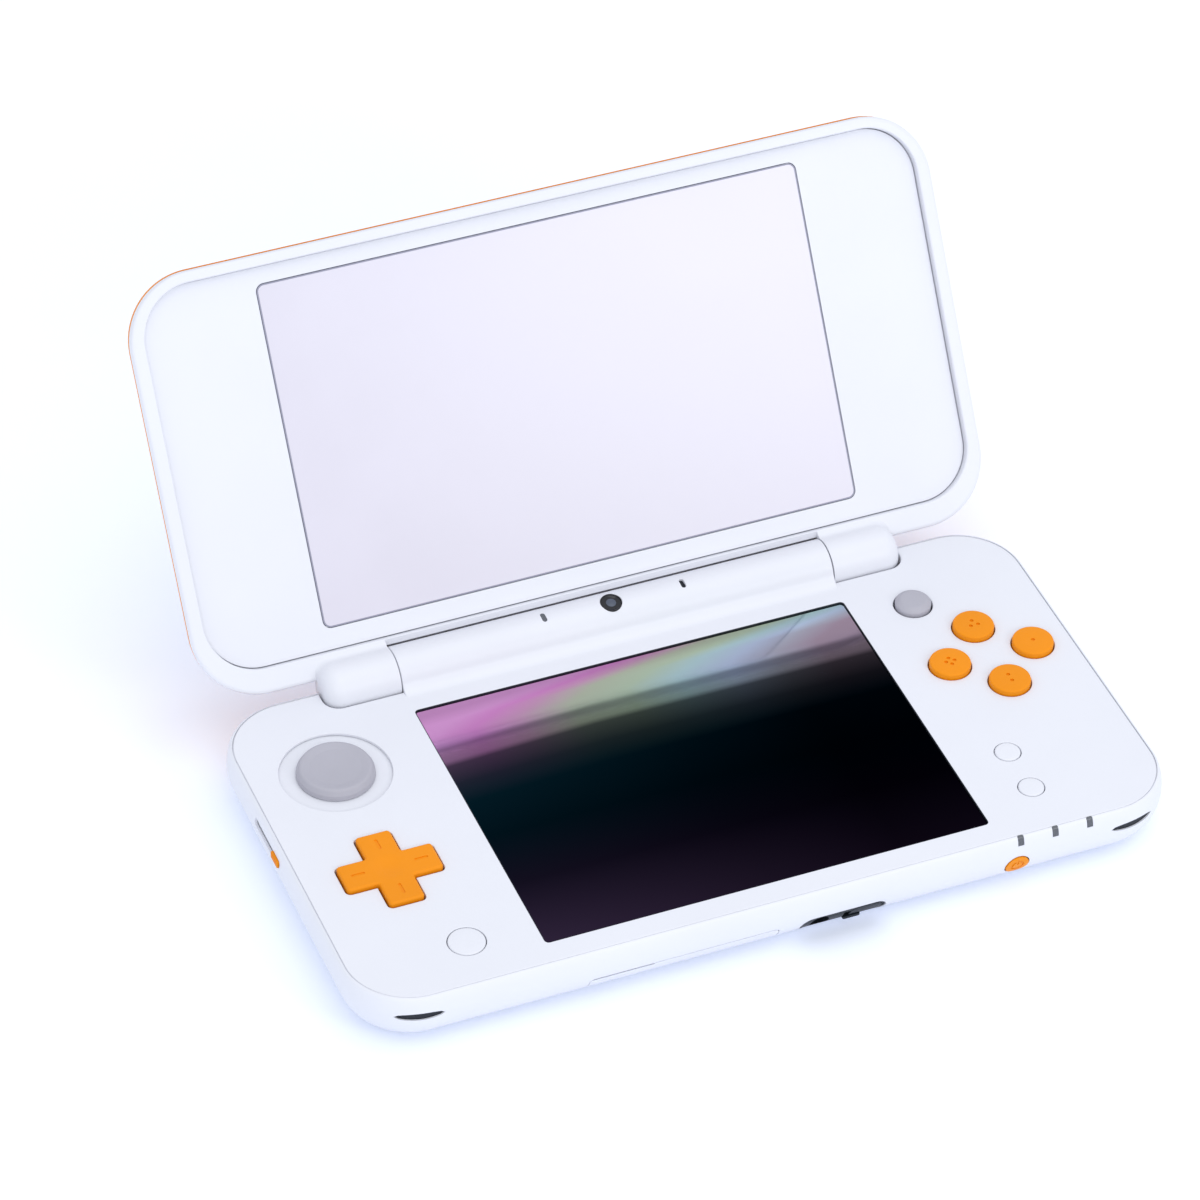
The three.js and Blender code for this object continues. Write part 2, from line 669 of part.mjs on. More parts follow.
function stylusSilo() {
  const front = PORTS.floor + PORT_INSERT_THICK + 0.3;
  const tube = through(stylusOutline(0.7), front, STYLUS.back + 1.2, 4);
  return cut(tube, through(stylusOutline(0.3), front - 1, STYLUS.back + 0.5, 4));
}

function cardHousing() {
  const block = box(CARD.x0 - 1, CARD.x1 + 1, CARD.front, CARD.back + 1, CARD.z0 - 0.3, CARD.z1 + 0.7);
  return cut(block, box(CARD.x0, CARD.x1, -40, CARD.back, CARD.z0, CARD.z1));
}

const READER = { x: -26, y: 20, w: 13.0, h: 15.0, z0: 5.3, z1: 7.3 };

function memoryReader() {
  const { x, y, w, h, z0, z1 } = READER;
  const block = box(x - w / 2, x + w / 2, y - h / 2, y + h / 2, z0, z1);
  return cut(block, box(x - w / 2 + 0.9, x + w / 2 - 0.9, y - h, y + h / 2 - 1.4, z0 + 0.5, z1 - 0.5));
}

function rearPort(spec, y0, y1, hollow) {
  const shell = through(rearOutline(spec, -0.1), y0, y1, 3).intersect(caseOuter(-0.3));
  if (!hollow) {
    return shell;
  }
  return cut(shell, through(rearOutline(spec, -0.7), y0 + 1.2, 60, 3));
}

function mainboard() {
  const board = slab(0, 2, 138, 56, 4, 7.5, 8.3);
  const podRoom = slab(PAD.x, PAD.y, 26.6, 26.6, 1, 7, 9);
  return cut(board, podRoom);
}

function speakerUnit(side) {
  return slab(side * 67.5, -24.4, 8, 11, 2, 3.2, 7.2);
}

function screw([x, y]) {
  return sum([disc(x, y, 1.8, 0.1, 0.65, 14), disc(x, y, 0.8, 0.5, 3.9, 10)]);
}

// ---- lid, in its own frame: +Y up the lid, +Z out of its inner face ----------------------

function lidFrameLevels() {
  return [
    [FRAME_BACK_Z, SKIRT_IN], [BAND_LOW_Z, SKIRT_IN], [BAND_LOW_Z, BAND_IN],
    [-1.05, BAND_IN], [-0.7, 0.33], [-0.53, 0.6], [RIM_Z, 0.92],
  ];
}

function trimLevels() {
  return [
    [LID_BACK_Z, 7.5], [-8.3, 5.6], [-7.9, 3.9], [-7.1, 2.2], [-6.1, 1.15], [-4.9, 0.45], [-3.6, 0.13],
    [BAND_LOW_Z - FRAME_GAP / 2, 0.05],
  ];
}

const PANEL_AREA = { x0: -76.8, x1: 76.8, y0: 6.7, y1: 79.1, r: 10.2 };
const PANEL_THICK = 1.0;
const DISPLAY_Y = HINGE_Y;

function lidKnuckle(side) {
  const inner = BARREL_END + BARREL_GAP;
  const rounding = quarterLevels(4, (t) => [
    BARREL_R - KNUCKLE_ROUND * (1 - Math.cos(t)),
    KNUCKLE_END - KNUCKLE_ROUND * (1 - Math.sin(t)),
  ]);
  const barrel = turnedAlongX(0, 0, [[0, inner], [BARREL_R, inner], ...rounding, [0, KNUCKLE_END]], 28);
  return side < 0 ? barrel.mirror([1, 0, 0]) : barrel;
}

function lidInnerFrame() {
  const half = BARREL_END + BARREL_GAP;
  const ring = cut(
    loft(LID_AREA, lidFrameLevels()),
    loft(PANEL_AREA, [[PANEL_Z - PANEL_THICK - 0.3, 0], [1, 0]]),
    loft(PANEL_AREA, [[-9, 1.5], [0, 1.5]]),
    rod(BARREL_R + BARREL_GAP, -half, half, 0, 0, 28),
    box(-half, half, -1, 6.4, -1.2, 1),
  );
  const bores = rod(PIN_R + 0.3, -KNUCKLE_END + 3.5, KNUCKLE_END - 3.5, 0, 0, 12);
  return cut(sum([ring, lidKnuckle(-1), lidKnuckle(1)]), bores);
}

function lidTrim() {
  const ledge = FRAME_BACK_Z - FRAME_GAP;
  const wallIn = SKIRT_IN - FRAME_GAP / 2;
  const reach = KNUCKLE_END + BARREL_GAP;
  return cut(
    loft(LID_AREA, trimLevels()),
    loft(LID_AREA, [[-9, TRIM_FACE_IN], [ledge, TRIM_FACE_IN], [ledge, wallIn], [-1, wallIn]]),
    rod(BARREL_R + BARREL_GAP, -reach, reach, 0, 0, 28),
  );
}

function lidCover() {
  const inset = TRIM_FACE_IN + FRAME_GAP;
  const sheet = loft(LID_AREA, [[-8.4, inset + 0.5], [-8.1, inset], [-5.4, inset]]);
  return cut(sheet, loft(LID_AREA, [[-7.0, inset + 1.6], [-5, inset + 1.6]]));
}

function upperPanel() {
  const sheet = loft(PANEL_AREA, [[PANEL_Z - PANEL_THICK, FRAME_GAP / 2], [PANEL_Z, FRAME_GAP / 2]]);
  return cut(sheet, slab(SCREEN_X, DISPLAY_Y, UPPER_W, UPPER_H, 1.7, -9, 1));
}

function upperGlass() {
  const z1 = PANEL_Z - 0.05;
  return slab(SCREEN_X, DISPLAY_Y, UPPER_W - 0.6, UPPER_H - 0.6, 1.4, z1 - PANEL_THICK + 0.1, z1);
}

// ---- assembly ----------------------------------------------------------------------------

const console3d = new THREE.Group();
const lid = new THREE.Group();
lid.position.set(0, HINGE_Y, HINGE_Z);
lid.rotation.x = THREE.MathUtils.degToRad(180 - LID_OPEN_DEG);
console3d.add(lid);

function addTo(group, name, solid, look) {
  group.add(toMesh(name, solid, look));
}

function addBase(name, solid, look) {
  addTo(console3d, name, solid, look);
}

function addLid(name, solid, look) {
  addTo(lid, name, solid, look);
}

function addShells() {
  addBase('lower_case', lowerCase(), WHITE);
  addBase('face_plate', facePlate(), WHITE);
  addBase('touch_screen', slab(SCREEN_X, 0, LOWER_W - 0.3, LOWER_H - 0.3, 1.4, 11.15, 12.2), GLASS_DARK);
  addBase('lower_display', slab(SCREEN_X, 0, 90, 68, 1, 8.8, 10.9), STEEL);
}

function addControls() {
  addBase('circle_pad_module', circlePadModule(), DARK);
  addBase('circle_pad_carriage', circlePadCarriage(), GREY);
  addBase('circle_pad_skirt', circlePadSkirt(), WHITE);
  addBase('circle_pad_cap', circlePadCap(), GREY);
  addBase('direction_pad', directionPad(), ORANGE);
  addBase('direction_pivot', directionPivot(), GREY);
  for (const [name, [x, y]] of Object.entries(CLUSTER_SPOTS)) {
    addBase(name, roundButton(x, y, CLUSTER.r, CLUSTER.top), ORANGE);
  }
  addBase('home_button', roundButton(HOME.x, HOME.y, HOME.r, 12.5), WHITE);
  addBase('start_button', roundButton(START.x, START.y, START.r, 12.55, 16), WHITE);
  addBase('select_button', roundButton(SELECT.x, SELECT.y, SELECT.r, 12.55, 16), WHITE);
  addBase('pointing_nub', pointingNub(), GREY);
  addBase('nub_stem', nubStem(), DARK);
  addBase('power_button', powerButton(), ORANGE);
  addBase('volume_slider', volumeSlider(), ORANGE);
  for (const [side, word] of [[-1, 'left'], [1, 'right']]) {
    addBase(`shoulder_button_${word}`, shoulderButton(side), ORANGE);
    addBase(`trigger_button_${word}`, triggerButton(side), ORANGE);
  }
}

function addPorts() {
  addBase('port_insert', portInsert(), DARK);
  addBase('headphone_jack', headphoneJack(), DARK);
  addBase('stylus', stylusPen(), DARK);
  addBase('stylus_silo', stylusSilo(), DARK);
  addBase('card_flap', cardFlap(), WHITE);
  addBase('card_slot_housing', cardHousing(), STEEL);
  addBase('memory_card_reader', memoryReader(), STEEL);
  addBase('charging_inlet', rearPort(INLET, 35, 45, true), DARK);
  addBase('infrared_window', rearPort(INFRARED, 38, 45, false), GLASS_DARK);
  LIGHT_SPOTS.forEach((x, i) => {
    addBase(`status_light_${i + 1}`, caseOuter(-0.02).intersect(box(...lightLimits(x))), DARK);
  });
}

function addInternals() {
  addBase('mainboard', mainboard(), BOARD);
  addBase('battery', slab(40.5, 2, 38, 44, 2, 1.7, 6.9), DARK);
  addBase('key_membrane_left', slab(CROSS.x, CROSS.y, 20, 20, 2, 8.4, 8.8), RUBBER);
  addBase('key_membrane_right', slab(CLUSTER.x, CLUSTER.y, 26, 25, 3, 8.4, 8.8).subtract(
    disc(NUB.x, NUB.y, 3.4, 8, 9, 14),
  ), RUBBER);
  addBase('speaker_left', speakerUnit(-1), DARK);
  addBase('speaker_right', speakerUnit(1), DARK);
  SCREWS.forEach((spot, i) => addBase(`case_screw_${i + 1}`, screw(spot), STEEL));
  OUTER_CAMERAS.forEach((x, i) => {
    addBase(`outer_camera_${i + 1}`, disc(x, OUTER_CAMERA_Y, 3.0, 0.15, 6.0, 16), GLASS_DARK);
  });
}

function addHinge() {
  addBase('hinge_pin_left', rod(PIN_R, -KNUCKLE_END + 4.5, -24, HINGE_Y, HINGE_Z, 12), STEEL);
  addBase('hinge_clutch', rod(3.3, 24.3, 42, HINGE_Y, HINGE_Z, 16).add(
    rod(PIN_R, 40, KNUCKLE_END - 4.5, HINGE_Y, HINGE_Z, 12),
  ), STEEL);
  addBase('inner_camera', radialPlug(LENS.x, LENS.angle, LENS.r, 3.75, 5.0), GLASS_DARK);
  addBase('notice_light', radialSlot(NOTICE_LIGHT, 0, 3.75, 4.9), DARK);
}

function addLidParts() {
  addLid('lid_inner_frame', lidInnerFrame(), WHITE);
  addLid('lid_trim', lidTrim(), ORANGE);
  addLid('lid_cover', lidCover(), WHITE);
  addLid('upper_panel', upperPanel(), WHITE);
  addLid('upper_screen', upperGlass(), GLASS_PALE);
  addLid('upper_display', slab(SCREEN_X, DISPLAY_Y, 112, 68.5, 1, -5.0, -3.3), STEEL);
}

addShells();
addControls();
addPorts();
addInternals();
addHinge();
addLidParts();

export default console3d;
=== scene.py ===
"""Looks of the two-screen handheld console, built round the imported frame.

Lengths are in millimetres until a mesh is made; build() turns them into metres.
"""

import json
import math

import bmesh
import bpy
from mathutils import Matrix, Vector


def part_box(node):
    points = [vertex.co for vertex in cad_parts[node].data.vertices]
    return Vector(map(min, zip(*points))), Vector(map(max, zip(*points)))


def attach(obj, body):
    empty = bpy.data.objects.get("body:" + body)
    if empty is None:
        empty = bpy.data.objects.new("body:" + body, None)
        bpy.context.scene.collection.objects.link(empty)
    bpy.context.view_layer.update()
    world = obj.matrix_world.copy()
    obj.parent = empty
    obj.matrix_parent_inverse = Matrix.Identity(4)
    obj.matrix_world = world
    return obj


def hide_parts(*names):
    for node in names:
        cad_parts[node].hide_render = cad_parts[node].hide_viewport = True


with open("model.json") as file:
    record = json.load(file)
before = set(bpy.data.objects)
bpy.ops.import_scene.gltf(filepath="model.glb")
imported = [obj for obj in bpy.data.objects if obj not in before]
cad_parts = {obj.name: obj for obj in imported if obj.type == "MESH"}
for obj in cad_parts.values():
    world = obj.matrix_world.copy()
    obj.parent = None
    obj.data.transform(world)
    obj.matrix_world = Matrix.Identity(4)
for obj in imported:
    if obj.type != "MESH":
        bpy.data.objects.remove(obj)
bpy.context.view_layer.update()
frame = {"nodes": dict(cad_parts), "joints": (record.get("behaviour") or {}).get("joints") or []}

MM = 0.001


# ---- places from the frame

def span(node):
    """Lowest and highest corner of a CAD node, in millimetres."""
    low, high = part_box(node)
    return [v / MM for v in low], [v / MM for v in high]


def middle(node):
    low, high = span(node)
    return [(a + b) / 2 for a, b in zip(low, high)]


def joint(name):
    return next(j for j in frame["joints"] if j["name"] == name)


CASE_LOW, CASE_HIGH = span("lower_case")
TOP = CASE_HIGH[2]                                  # the face of the base
HINGE = [v / MM for v in joint("lid_hinge")["pos_m"]]
LID_TILT = math.radians(180 + joint("lid_hinge")["range_deg"][0])
LID = Matrix.Translation(HINGE) @ Matrix.Rotation(LID_TILT, 4, "X")


def lid_span(node):
    """Lowest and highest corner of a lid node in the lid's own frame, in millimetres."""
    flat = LID.inverted()
    points = [flat @ (v.co / MM) for v in frame["nodes"][node].data.vertices]
    return ([min(p[i] for p in points) for i in range(3)],
            [max(p[i] for p in points) for i in range(3)])


# ---- driving dimensions of the finish

CORNER = 13.1                 # plan radius of every outer corner
BELLY_IN = 8.0                # the underside's flat lies this far inside the outline
BELLY_HIGH = 8.6              # height at which the side wall is widest
SEAM_IN = 1.1                 # outline to the seam of the face
SEAM_GAP = 0.13               # width of that seam
WALL = 1.6                    # thickness of the case's side wall
FLOOR = 1.4                   # and of its floor
FACE_BOTTOM = TOP - 1.4
BARREL_R = 5.1                # the fixed middle barrel and the lid's two knuckles
BARREL_END = 43.3             # where the middle barrel ends, either side of the middle
KNUCKLE_END = 57.9            # outer end of each knuckle
KNUCKLE_ROUND = 3.2           # radius that rounds that end
BARREL_GAP = 0.35             # clearance round the barrel and the knuckles
FACE_FILLET = 3.0             # joins the barrel to the face
LID_FILLET = 1.65             # joins a knuckle to the lid
RUNNING_GAP = 0.15            # round a small white button
CLUSTER_GAP = 0.2             # round an orange button
EDGE_GAP = 0.3                # round the shoulder buttons, triggers and the volume knob

# Where cutters start and end, well clear of the wall that they go through
AHEAD = -45.0                 # in front of the front wall
WITHIN = -28.0                # behind the front wall
BEHIND = 60.0                 # behind the rear wall
ABOVE = 30.0                  # above the barrel

SIDES = ((-1, "left"), (1, "right"))
BASE_AREA = {"x0": CASE_LOW[0], "x1": CASE_HIGH[0], "y0": CASE_LOW[1], "y1": CASE_HIGH[1], "r": CORNER}


# ---- outlines

def arc(cx, cy, r, start, end, steps):
    """Points on a circle, angles in degrees."""
    turns = [math.radians(start + (end - start) * i / steps) for i in range(steps + 1)]
    return [(cx + r * math.cos(t), cy + r * math.sin(t)) for t in turns]


def soften(corners, steps=6):
    """A closed outline whose (x, y, radius) corners are replaced by arcs."""
    out = []
    for i, (x, y, r) in enumerate(corners):
        here = Vector((x, y))
        before = Vector(corners[i - 1][:2]) - here
        after = Vector(corners[(i + 1) % len(corners)][:2]) - here
        half = before.angle(after) / 2
        reach = min(r / math.tan(half), 0.49 * before.length, 0.49 * after.length)
        radius = reach * math.tan(half)
        centre = here + (before.normalized() + after.normalized()).normalized() * radius / math.sin(half)
        start = here + before.normalized() * reach - centre
        end = here + after.normalized() * reach - centre
        first = math.atan2(start.y, start.x)
        turn = (math.atan2(end.y, end.x) - first + math.pi) % (2 * math.pi) - math.pi
        for k in range(steps + 1):
            angle = first + turn * k / steps
            out.append((centre.x + radius * math.cos(angle), centre.y + radius * math.sin(angle)))
    return out


def box_outline(x0, x1, y0, y1, r, steps=8):
    r = max(min(r, (x1 - x0) / 2 - 0.001, (y1 - y0) / 2 - 0.001), 0.001)
    return (arc(x1 - r, y1 - r, r, 0, 90, steps) + arc(x0 + r, y1 - r, r, 90, 180, steps)
            + arc(x0 + r, y0 + r, r, 180, 270, steps) + arc(x1 - r, y0 + r, r, 270, 360, steps))


def area_outline(area, inset, steps=20, least=3.0):
    """An area's rounded outline moved inwards; its corners keep at least a radius."""
    r = max(area["r"] - inset, least)
    return box_outline(area["x0"] + inset, area["x1"] - inset,
                       area["y0"] + inset, area["y1"] - inset, r, steps)


def circle_outline(x, y, r, steps=56):
    return arc(x, y, r, 0, 360 * (1 - 1 / steps), steps - 1)


def level(outline, z):
    return [(x, y, z) for x, y in outline]


def round_over(z, r, steps=4, inset=0.0):
    """(height, inset) pairs of a rounded top edge that ends at height z."""
    turns = [math.pi / 2 * i / steps for i in range(steps + 1)]
    return [(z - r + r * math.sin(t), inset + r - r * math.cos(t)) for t in turns]


def flare_levels(z, r, steps=4):
    """(height, inset) pairs, top first, of a cutter that leaves a rounded rim at height z."""
    turns = [math.pi / 2 * i / steps for i in range(steps + 1)]
    return [(z - r + r * math.sin(t), r * math.cos(t)) for t in reversed(turns)]


# ---- meshes

def add_object(name, data):
    obj = bpy.data.objects.new(name, data)
    bpy.context.scene.collection.objects.link(obj)
    return obj


def build(name, points, faces):
    """A mesh object from points in millimetres, with merged points and outward faces."""
    mesh = bpy.data.meshes.new(name)
    mesh.from_pydata([tuple(v * MM for v in p) for p in points], [], faces)
    shell = bmesh.new()
    shell.from_mesh(mesh)
    bmesh.ops.remove_doubles(shell, verts=shell.verts, dist=1e-7)
    bmesh.ops.recalc_face_normals(shell, faces=shell.faces)
    shell.to_mesh(mesh)
    shell.free()
    return add_object(name, mesh)


def loft(name, rings):
    """A closed body through rings of equally many points, capped at both ends."""
    count = len(rings[0])
    faces = [tuple(range(count)), tuple((len(rings) - 1) * count + i for i in range(count))]
    for a in range(len(rings) - 1):
        for i in range(count):
            j = (i + 1) % count
            faces.append((a * count + i, a * count + j, (a + 1) * count + j, (a + 1) * count + i))
    return build(name, [p for ring in rings for p in ring], faces)


def area_body(name, area, levels, steps=20, least=3.0):
    """A body over an area, with its outline moved inwards by each (height, inset) level."""
    return loft(name, [level(area_outline(area, inset, steps, least), z) for z, inset in levels])


def lathe(name, profile, steps=64, at=(0, 0, 0)):
    """A body of revolution round a vertical axis; the profile is (radius, z) from axis to axis."""
    points, faces, rows = [], [], []
    for r, z in profile:
        if r < 1e-6:
            rows.append([len(points)] * steps)
            points.append((at[0], at[1], at[2] + z))
        else:
            rows.append([len(points) + i for i in range(steps)])
            for i in range(steps):
                t = 2 * math.pi * i / steps
                points.append((at[0] + r * math.cos(t), at[1] + r * math.sin(t), at[2] + z))
    for low, high in zip(rows, rows[1:]):
        for i in range(steps):
            j = (i + 1) % steps
            corners = list(dict.fromkeys((low[i], low[j], high[j], high[i])))
            if len(corners) > 2:
                faces.append(tuple(corners))
    return build(name, points, faces)


def block(name, x0, x1, y0, y1, z0, z1, r=0.001, steps=3):
    return loft(name, [level(box_outline(x0, x1, y0, y1, r, steps), z) for z in (z0, z1)])


def push_y(name, outline, y0, y1):
    """An outline in X and Z pushed from y0 to y1."""
    return loft(name, [[(x, y, z) for x, z in outline] for y in (y0, y1)])


def push_x(name, sections):
    """Sections in Y and Z, each a (x, outline) pair."""
    return loft(name, [[(x, y, z) for y, z in outline] for x, outline in sections])


def through_x(name, outline, x0, x1):
    """An outline in Y and Z pushed from x0 to x1."""
    return push_x(name, [(x, outline) for x in (x0, x1)])


def disc_y(name, x, z, r, y0, y1, steps=40):
    """A disc whose axis runs along Y."""
    return push_y(name, circle_outline(x, z, r, steps), y0, y1)


def moved(obj, matrix):
    """Moves a mesh by a matrix that is in millimetres."""
    metres = matrix.copy()
    metres.translation = matrix.translation * MM
    obj.data.transform(metres)
    return obj


def settle(obj):
    """Applies every modifier to the mesh."""
    bpy.context.view_layer.update()
    depsgraph = bpy.context.evaluated_depsgraph_get()
    mesh = bpy.data.meshes.new_from_object(obj.evaluated_get(depsgraph))
    obj.modifiers.clear()
    obj.data = mesh
    return obj


def combine(target, tools, operation):
    for tool in tools:
        step = target.modifiers.new("step", "BOOLEAN")
        step.operation = operation
        step.solver = "EXACT"
        step.object = tool
    settle(target)
    for tool in tools:
        bpy.data.objects.remove(tool)
    return target


def carve(target, *tools):
    return combine(target, tools, "DIFFERENCE")


def fuse(target, *tools):
    return combine(target, tools, "UNION")


def keep_within(target, *tools):
    return combine(target, tools, "INTERSECT")


def rounded_edges(obj, width, angle=50, segments=2):
    bevel = obj.modifiers.new("edges", "BEVEL")
    bevel.width = width * MM
    bevel.segments = segments
    bevel.limit_method = "ANGLE"
    bevel.angle_limit = math.radians(angle)
    return settle(obj)


def polish(obj, angle=34):
    obj.data.shade_smooth()
    obj.data.set_sharp_from_angle(angle=math.radians(angle))
    even = obj.modifiers.new("even_normals", "WEIGHTED_NORMAL")
    even.keep_sharp = True
    return obj


# ---- materials

class Look:
    """A node material; its methods add nodes and return the output to use next."""

    def __init__(self, name):
        self.material = bpy.data.materials.new(name)
        self.material.use_nodes = True
        self.nodes = self.material.node_tree.nodes

    def feed(self, socket, value):
        """Links a socket to another node's output, or sets its own value."""
        if isinstance(value, bpy.types.NodeSocket):
            self.material.node_tree.links.new(value, socket)
        else:
            socket.default_value = value

    def surface(self, inputs):
        for key, value in inputs.items():
            self.feed(self.nodes["Principled BSDF"].inputs[key], value)
        return self.material

    def node(self, kind, inputs, output, **settings):
        node = self.nodes.new(f"ShaderNode{kind}")
        for key, value in settings.items():
            setattr(node, key, value)
        for key, value in inputs.items():
            self.feed(node.inputs[key], value)
        return node.outputs[output]

    def place(self):
        """The point on the object, in metres."""
        return self.node("TexCoord", {}, "Object")

    def noise(self, scale, detail=3.0):
        return self.node("TexNoise", {"Vector": self.place(), "Scale": scale, "Detail": detail}, "Fac")

    def between(self, value, low, high):
        """Maps the middle of a noise's range to low..high."""
        return self.node("MapRange", {"Value": value, "From Min": 0.3, "From Max": 0.7,
                                      "To Min": low, "To Max": high}, "Result")

    def colours(self, value, *stops):
        """A colour ramp through (position, colour) stops."""
        ramp = self.nodes.new("ShaderNodeValToRGB")
        elements = ramp.color_ramp.elements
        while len(elements) < len(stops):
            elements.new(0.5)
        for element, (position, colour) in zip(elements, stops):
            element.position = position
            element.color = (*colour, 1)
        self.feed(ramp.inputs["Fac"], value)
        return ramp.outputs["Color"]

    def greys(self, value, *stops):
        return self.colours(value, *[(position, (level, level, level)) for position, level in stops])

    def bump(self, value, strength, depth):
        inputs = {"Height": value, "Strength": strength, "Distance": depth * MM}
        return self.node("Bump", inputs, "Normal")

    def calc(self, operation, a, b):
        return self.node("Math", {0: a, 1: b}, 0, operation=operation)

    def past(self, a, b):
        """How far a is above b; 0 below it."""
        return self.calc("MAXIMUM", self.calc("SUBTRACT", a, b), 0)

    def blend(self, how, a, b):
        """Two colours multiplied or added; a Mix node's colours are its inputs 6 and 7."""
        return self.node("Mix", {"Factor": 1, 6: a, 7: b}, 2, data_type="RGBA", blend_type=how)


def shade(colour, factor):
    return tuple(min(1.0, c * factor) for c in colour)


def moulded(name, colour, roughness, grain=0.4, depth=0.006, spread=0.03, specular=0.5):
    """Moulded plastic: broad colour drift, a fine eroded grain and roughness that follows it."""
    look = Look(name)
    broad = look.noise(45, 2)
    fine = look.noise(1 / (grain * MM), 4)
    return look.surface({
        "Base Color": look.colours(broad, (0.35, shade(colour, 1 - spread)),
                                   (0.65, shade(colour, 1 + spread))),
        "Roughness": look.between(fine, roughness - 0.05, roughness + 0.05),
        "Normal": look.bump(fine, 0.5, depth),
        "Specular IOR Level": specular,
    })


def brushed(name, colour, roughness):
    """Plated sheet steel with fine drawn lines along X."""
    look = Look(name)
    drawn = look.node("Mapping", {"Vector": look.place(), "Scale": (60, 2500, 2500)}, "Vector")
    lines = look.node("TexNoise", {"Vector": drawn, "Scale": 1.0}, "Fac")
    return look.surface({
        "Base Color": look.colours(lines, (0.3, shade(colour, 0.9)), (0.7, colour)),
        "Roughness": look.between(lines, roughness, roughness + 0.15),
        "Normal": look.bump(lines, 0.3, 0.003),
        "Metallic": 1.0,
    })


def solder_mask(name):
    """Green solder mask with copper tracks showing through."""
    look = Look(name)
    tracks = look.node("TexVoronoi", {"Vector": look.place(), "Scale": 260}, "Distance",
                       distance="MANHATTAN", feature="F1")
    return look.surface({
        "Base Color": look.colours(tracks, (0.2, (0.02, 0.16, 0.07)), (0.5, (0.01, 0.09, 0.04)),
                                   (0.8, (0.03, 0.2, 0.09))),
        "Roughness": look.between(tracks, 0.3, 0.45),
    })


def polished(name, colour, roughness):
    """A polished window with a faint smear in its gloss."""
    look = Look(name)
    smear = look.noise(60, 4)
    return look.surface({
        "Base Color": look.colours(smear, (0.3, shade(colour, 0.97)), (0.7, colour)),
        "Roughness": look.between(smear, roughness, roughness + 0.03),
    })


def painted_reflection_window(name):
    """Black window with a painted reflection: a rainbow-tinted band near the hinge stands in for the lid's
    mirror image tinted by the polariser films, over faint painted tints that fade across it.
    """
    look = Look(name)
    low, high = span("touch_screen")
    size = [(b - a) * MM for a, b in zip(low, high)]
    on_glass = look.node("Mapping", {
        "Vector": look.place(),
        "Location": [-a * MM / s for a, s in zip(low, size)],
        "Scale": [1 / s for s in size],
    }, "Vector")
    across = look.node("SeparateXYZ", {"Vector": on_glass}, "X")        # both run from 0 to 1
    up = across.node.outputs["Y"]
    drift = look.calc("MULTIPLY", look.past(up, 0.88), 1.5)
    bend = look.calc("MULTIPLY", look.past(up, 0.93), 3)
    along = look.calc("SUBTRACT", look.calc("SUBTRACT", across, drift), bend)
    tilted_up = look.calc("ADD", up, look.calc("MULTIPLY", look.past(0.35, across), 0.06))
    # painted rainbow hues of the mirrored lid, bent to follow where its reflection lies
    hue = look.colours(along, (0.0, (0.63, 0.3, 0.55)), (0.1, (0.6, 0.23, 0.5)),
                       (0.2, (0.54, 0.3, 0.43)), (0.32, (0.43, 0.48, 0.34)),
                       (0.45, (0.44, 0.55, 0.38)), (0.57, (0.42, 0.59, 0.57)),
                       (0.69, (0.44, 0.52, 0.63)), (0.8, (0.37, 0.36, 0.41)), (0.9, (0.34, 0.25, 0.3)))
    # painted reflection: the bright band near the hinge where the lid is mirrored
    lid_reflection_band = look.greys(tilted_up, (0.62, 0.0), (0.7, 0.02), (0.775, 0.08), (0.795, 0.34),
                      (0.845, 0.48), (0.862, 0.92), (0.95, 1.0), (0.99, 0.8))
    # faint painted reflection tints of the dark glass, stronger at its left
    deep = look.colours(up, (0.02, (0.03, 0.018, 0.04)), (0.25, (0.008, 0.006, 0.014)),
                        (0.45, (0.001, 0.007, 0.011)), (0.65, (0.002, 0.013, 0.02)),
                        (0.85, (0.01, 0.01, 0.02)))
    fade = look.greys(across, (0.0, 1.0), (0.5, 0.4), (0.8, 0.15))
    painted_tint = look.blend("MULTIPLY", deep, fade)
    return look.surface({
        "Base Color": look.blend("ADD", look.blend("MULTIPLY", hue, lid_reflection_band), painted_tint),
        "Roughness": look.between(look.noise(90, 3), 0.035, 0.06),
        "Metallic": 1.0,
        "Specular Tint": (0.35, 0.35, 0.4, 1),
    })


WHITE = moulded("white_plastic", (0.745, 0.75, 0.8), 0.4, depth=0.004, spread=0.008)
ORANGE = moulded("orange_plastic", (0.82, 0.265, 0.003), 0.5, depth=0.005, specular=0.2)
GREY = moulded("grey_rubber", (0.41, 0.4, 0.45), 0.55, grain=0.25, depth=0.02)
DARK = moulded("dark_plastic", (0.014, 0.017, 0.024), 0.45, grain=0.3, depth=0.015, specular=0.25)
LENS_GREY = moulded("window_grey", (0.1, 0.105, 0.12), 0.25, depth=0.002)
BORDER = moulded("screen_border", (0.27, 0.27, 0.35), 0.4)
SILICONE = moulded("silicone", (0.5, 0.5, 0.52), 0.6)
STEEL = brushed("plated_steel", (0.62, 0.63, 0.65), 0.25)
BOARD = solder_mask("solder_mask")
BLACK_GLASS = polished("black_glass", (0.006, 0.006, 0.009), 0.04)
PALE_GLASS = polished("pale_glass", (0.66, 0.63, 0.71), 0.22)
PUPIL = polished("camera_pupil", (0.07, 0.085, 0.12), 0.2)
TOUCH = painted_reflection_window("touch_window")


def piece(obj, body, look, *nodes, angle=34):
    """Finishes a piece: its material, shading, body and the CAD nodes that it stands for."""
    obj.data.materials.clear()
    obj.data.materials.append(look)
    polish(obj, angle)
    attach(obj, body)
    if nodes:
        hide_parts(*nodes)
    return obj


# ---- base shell

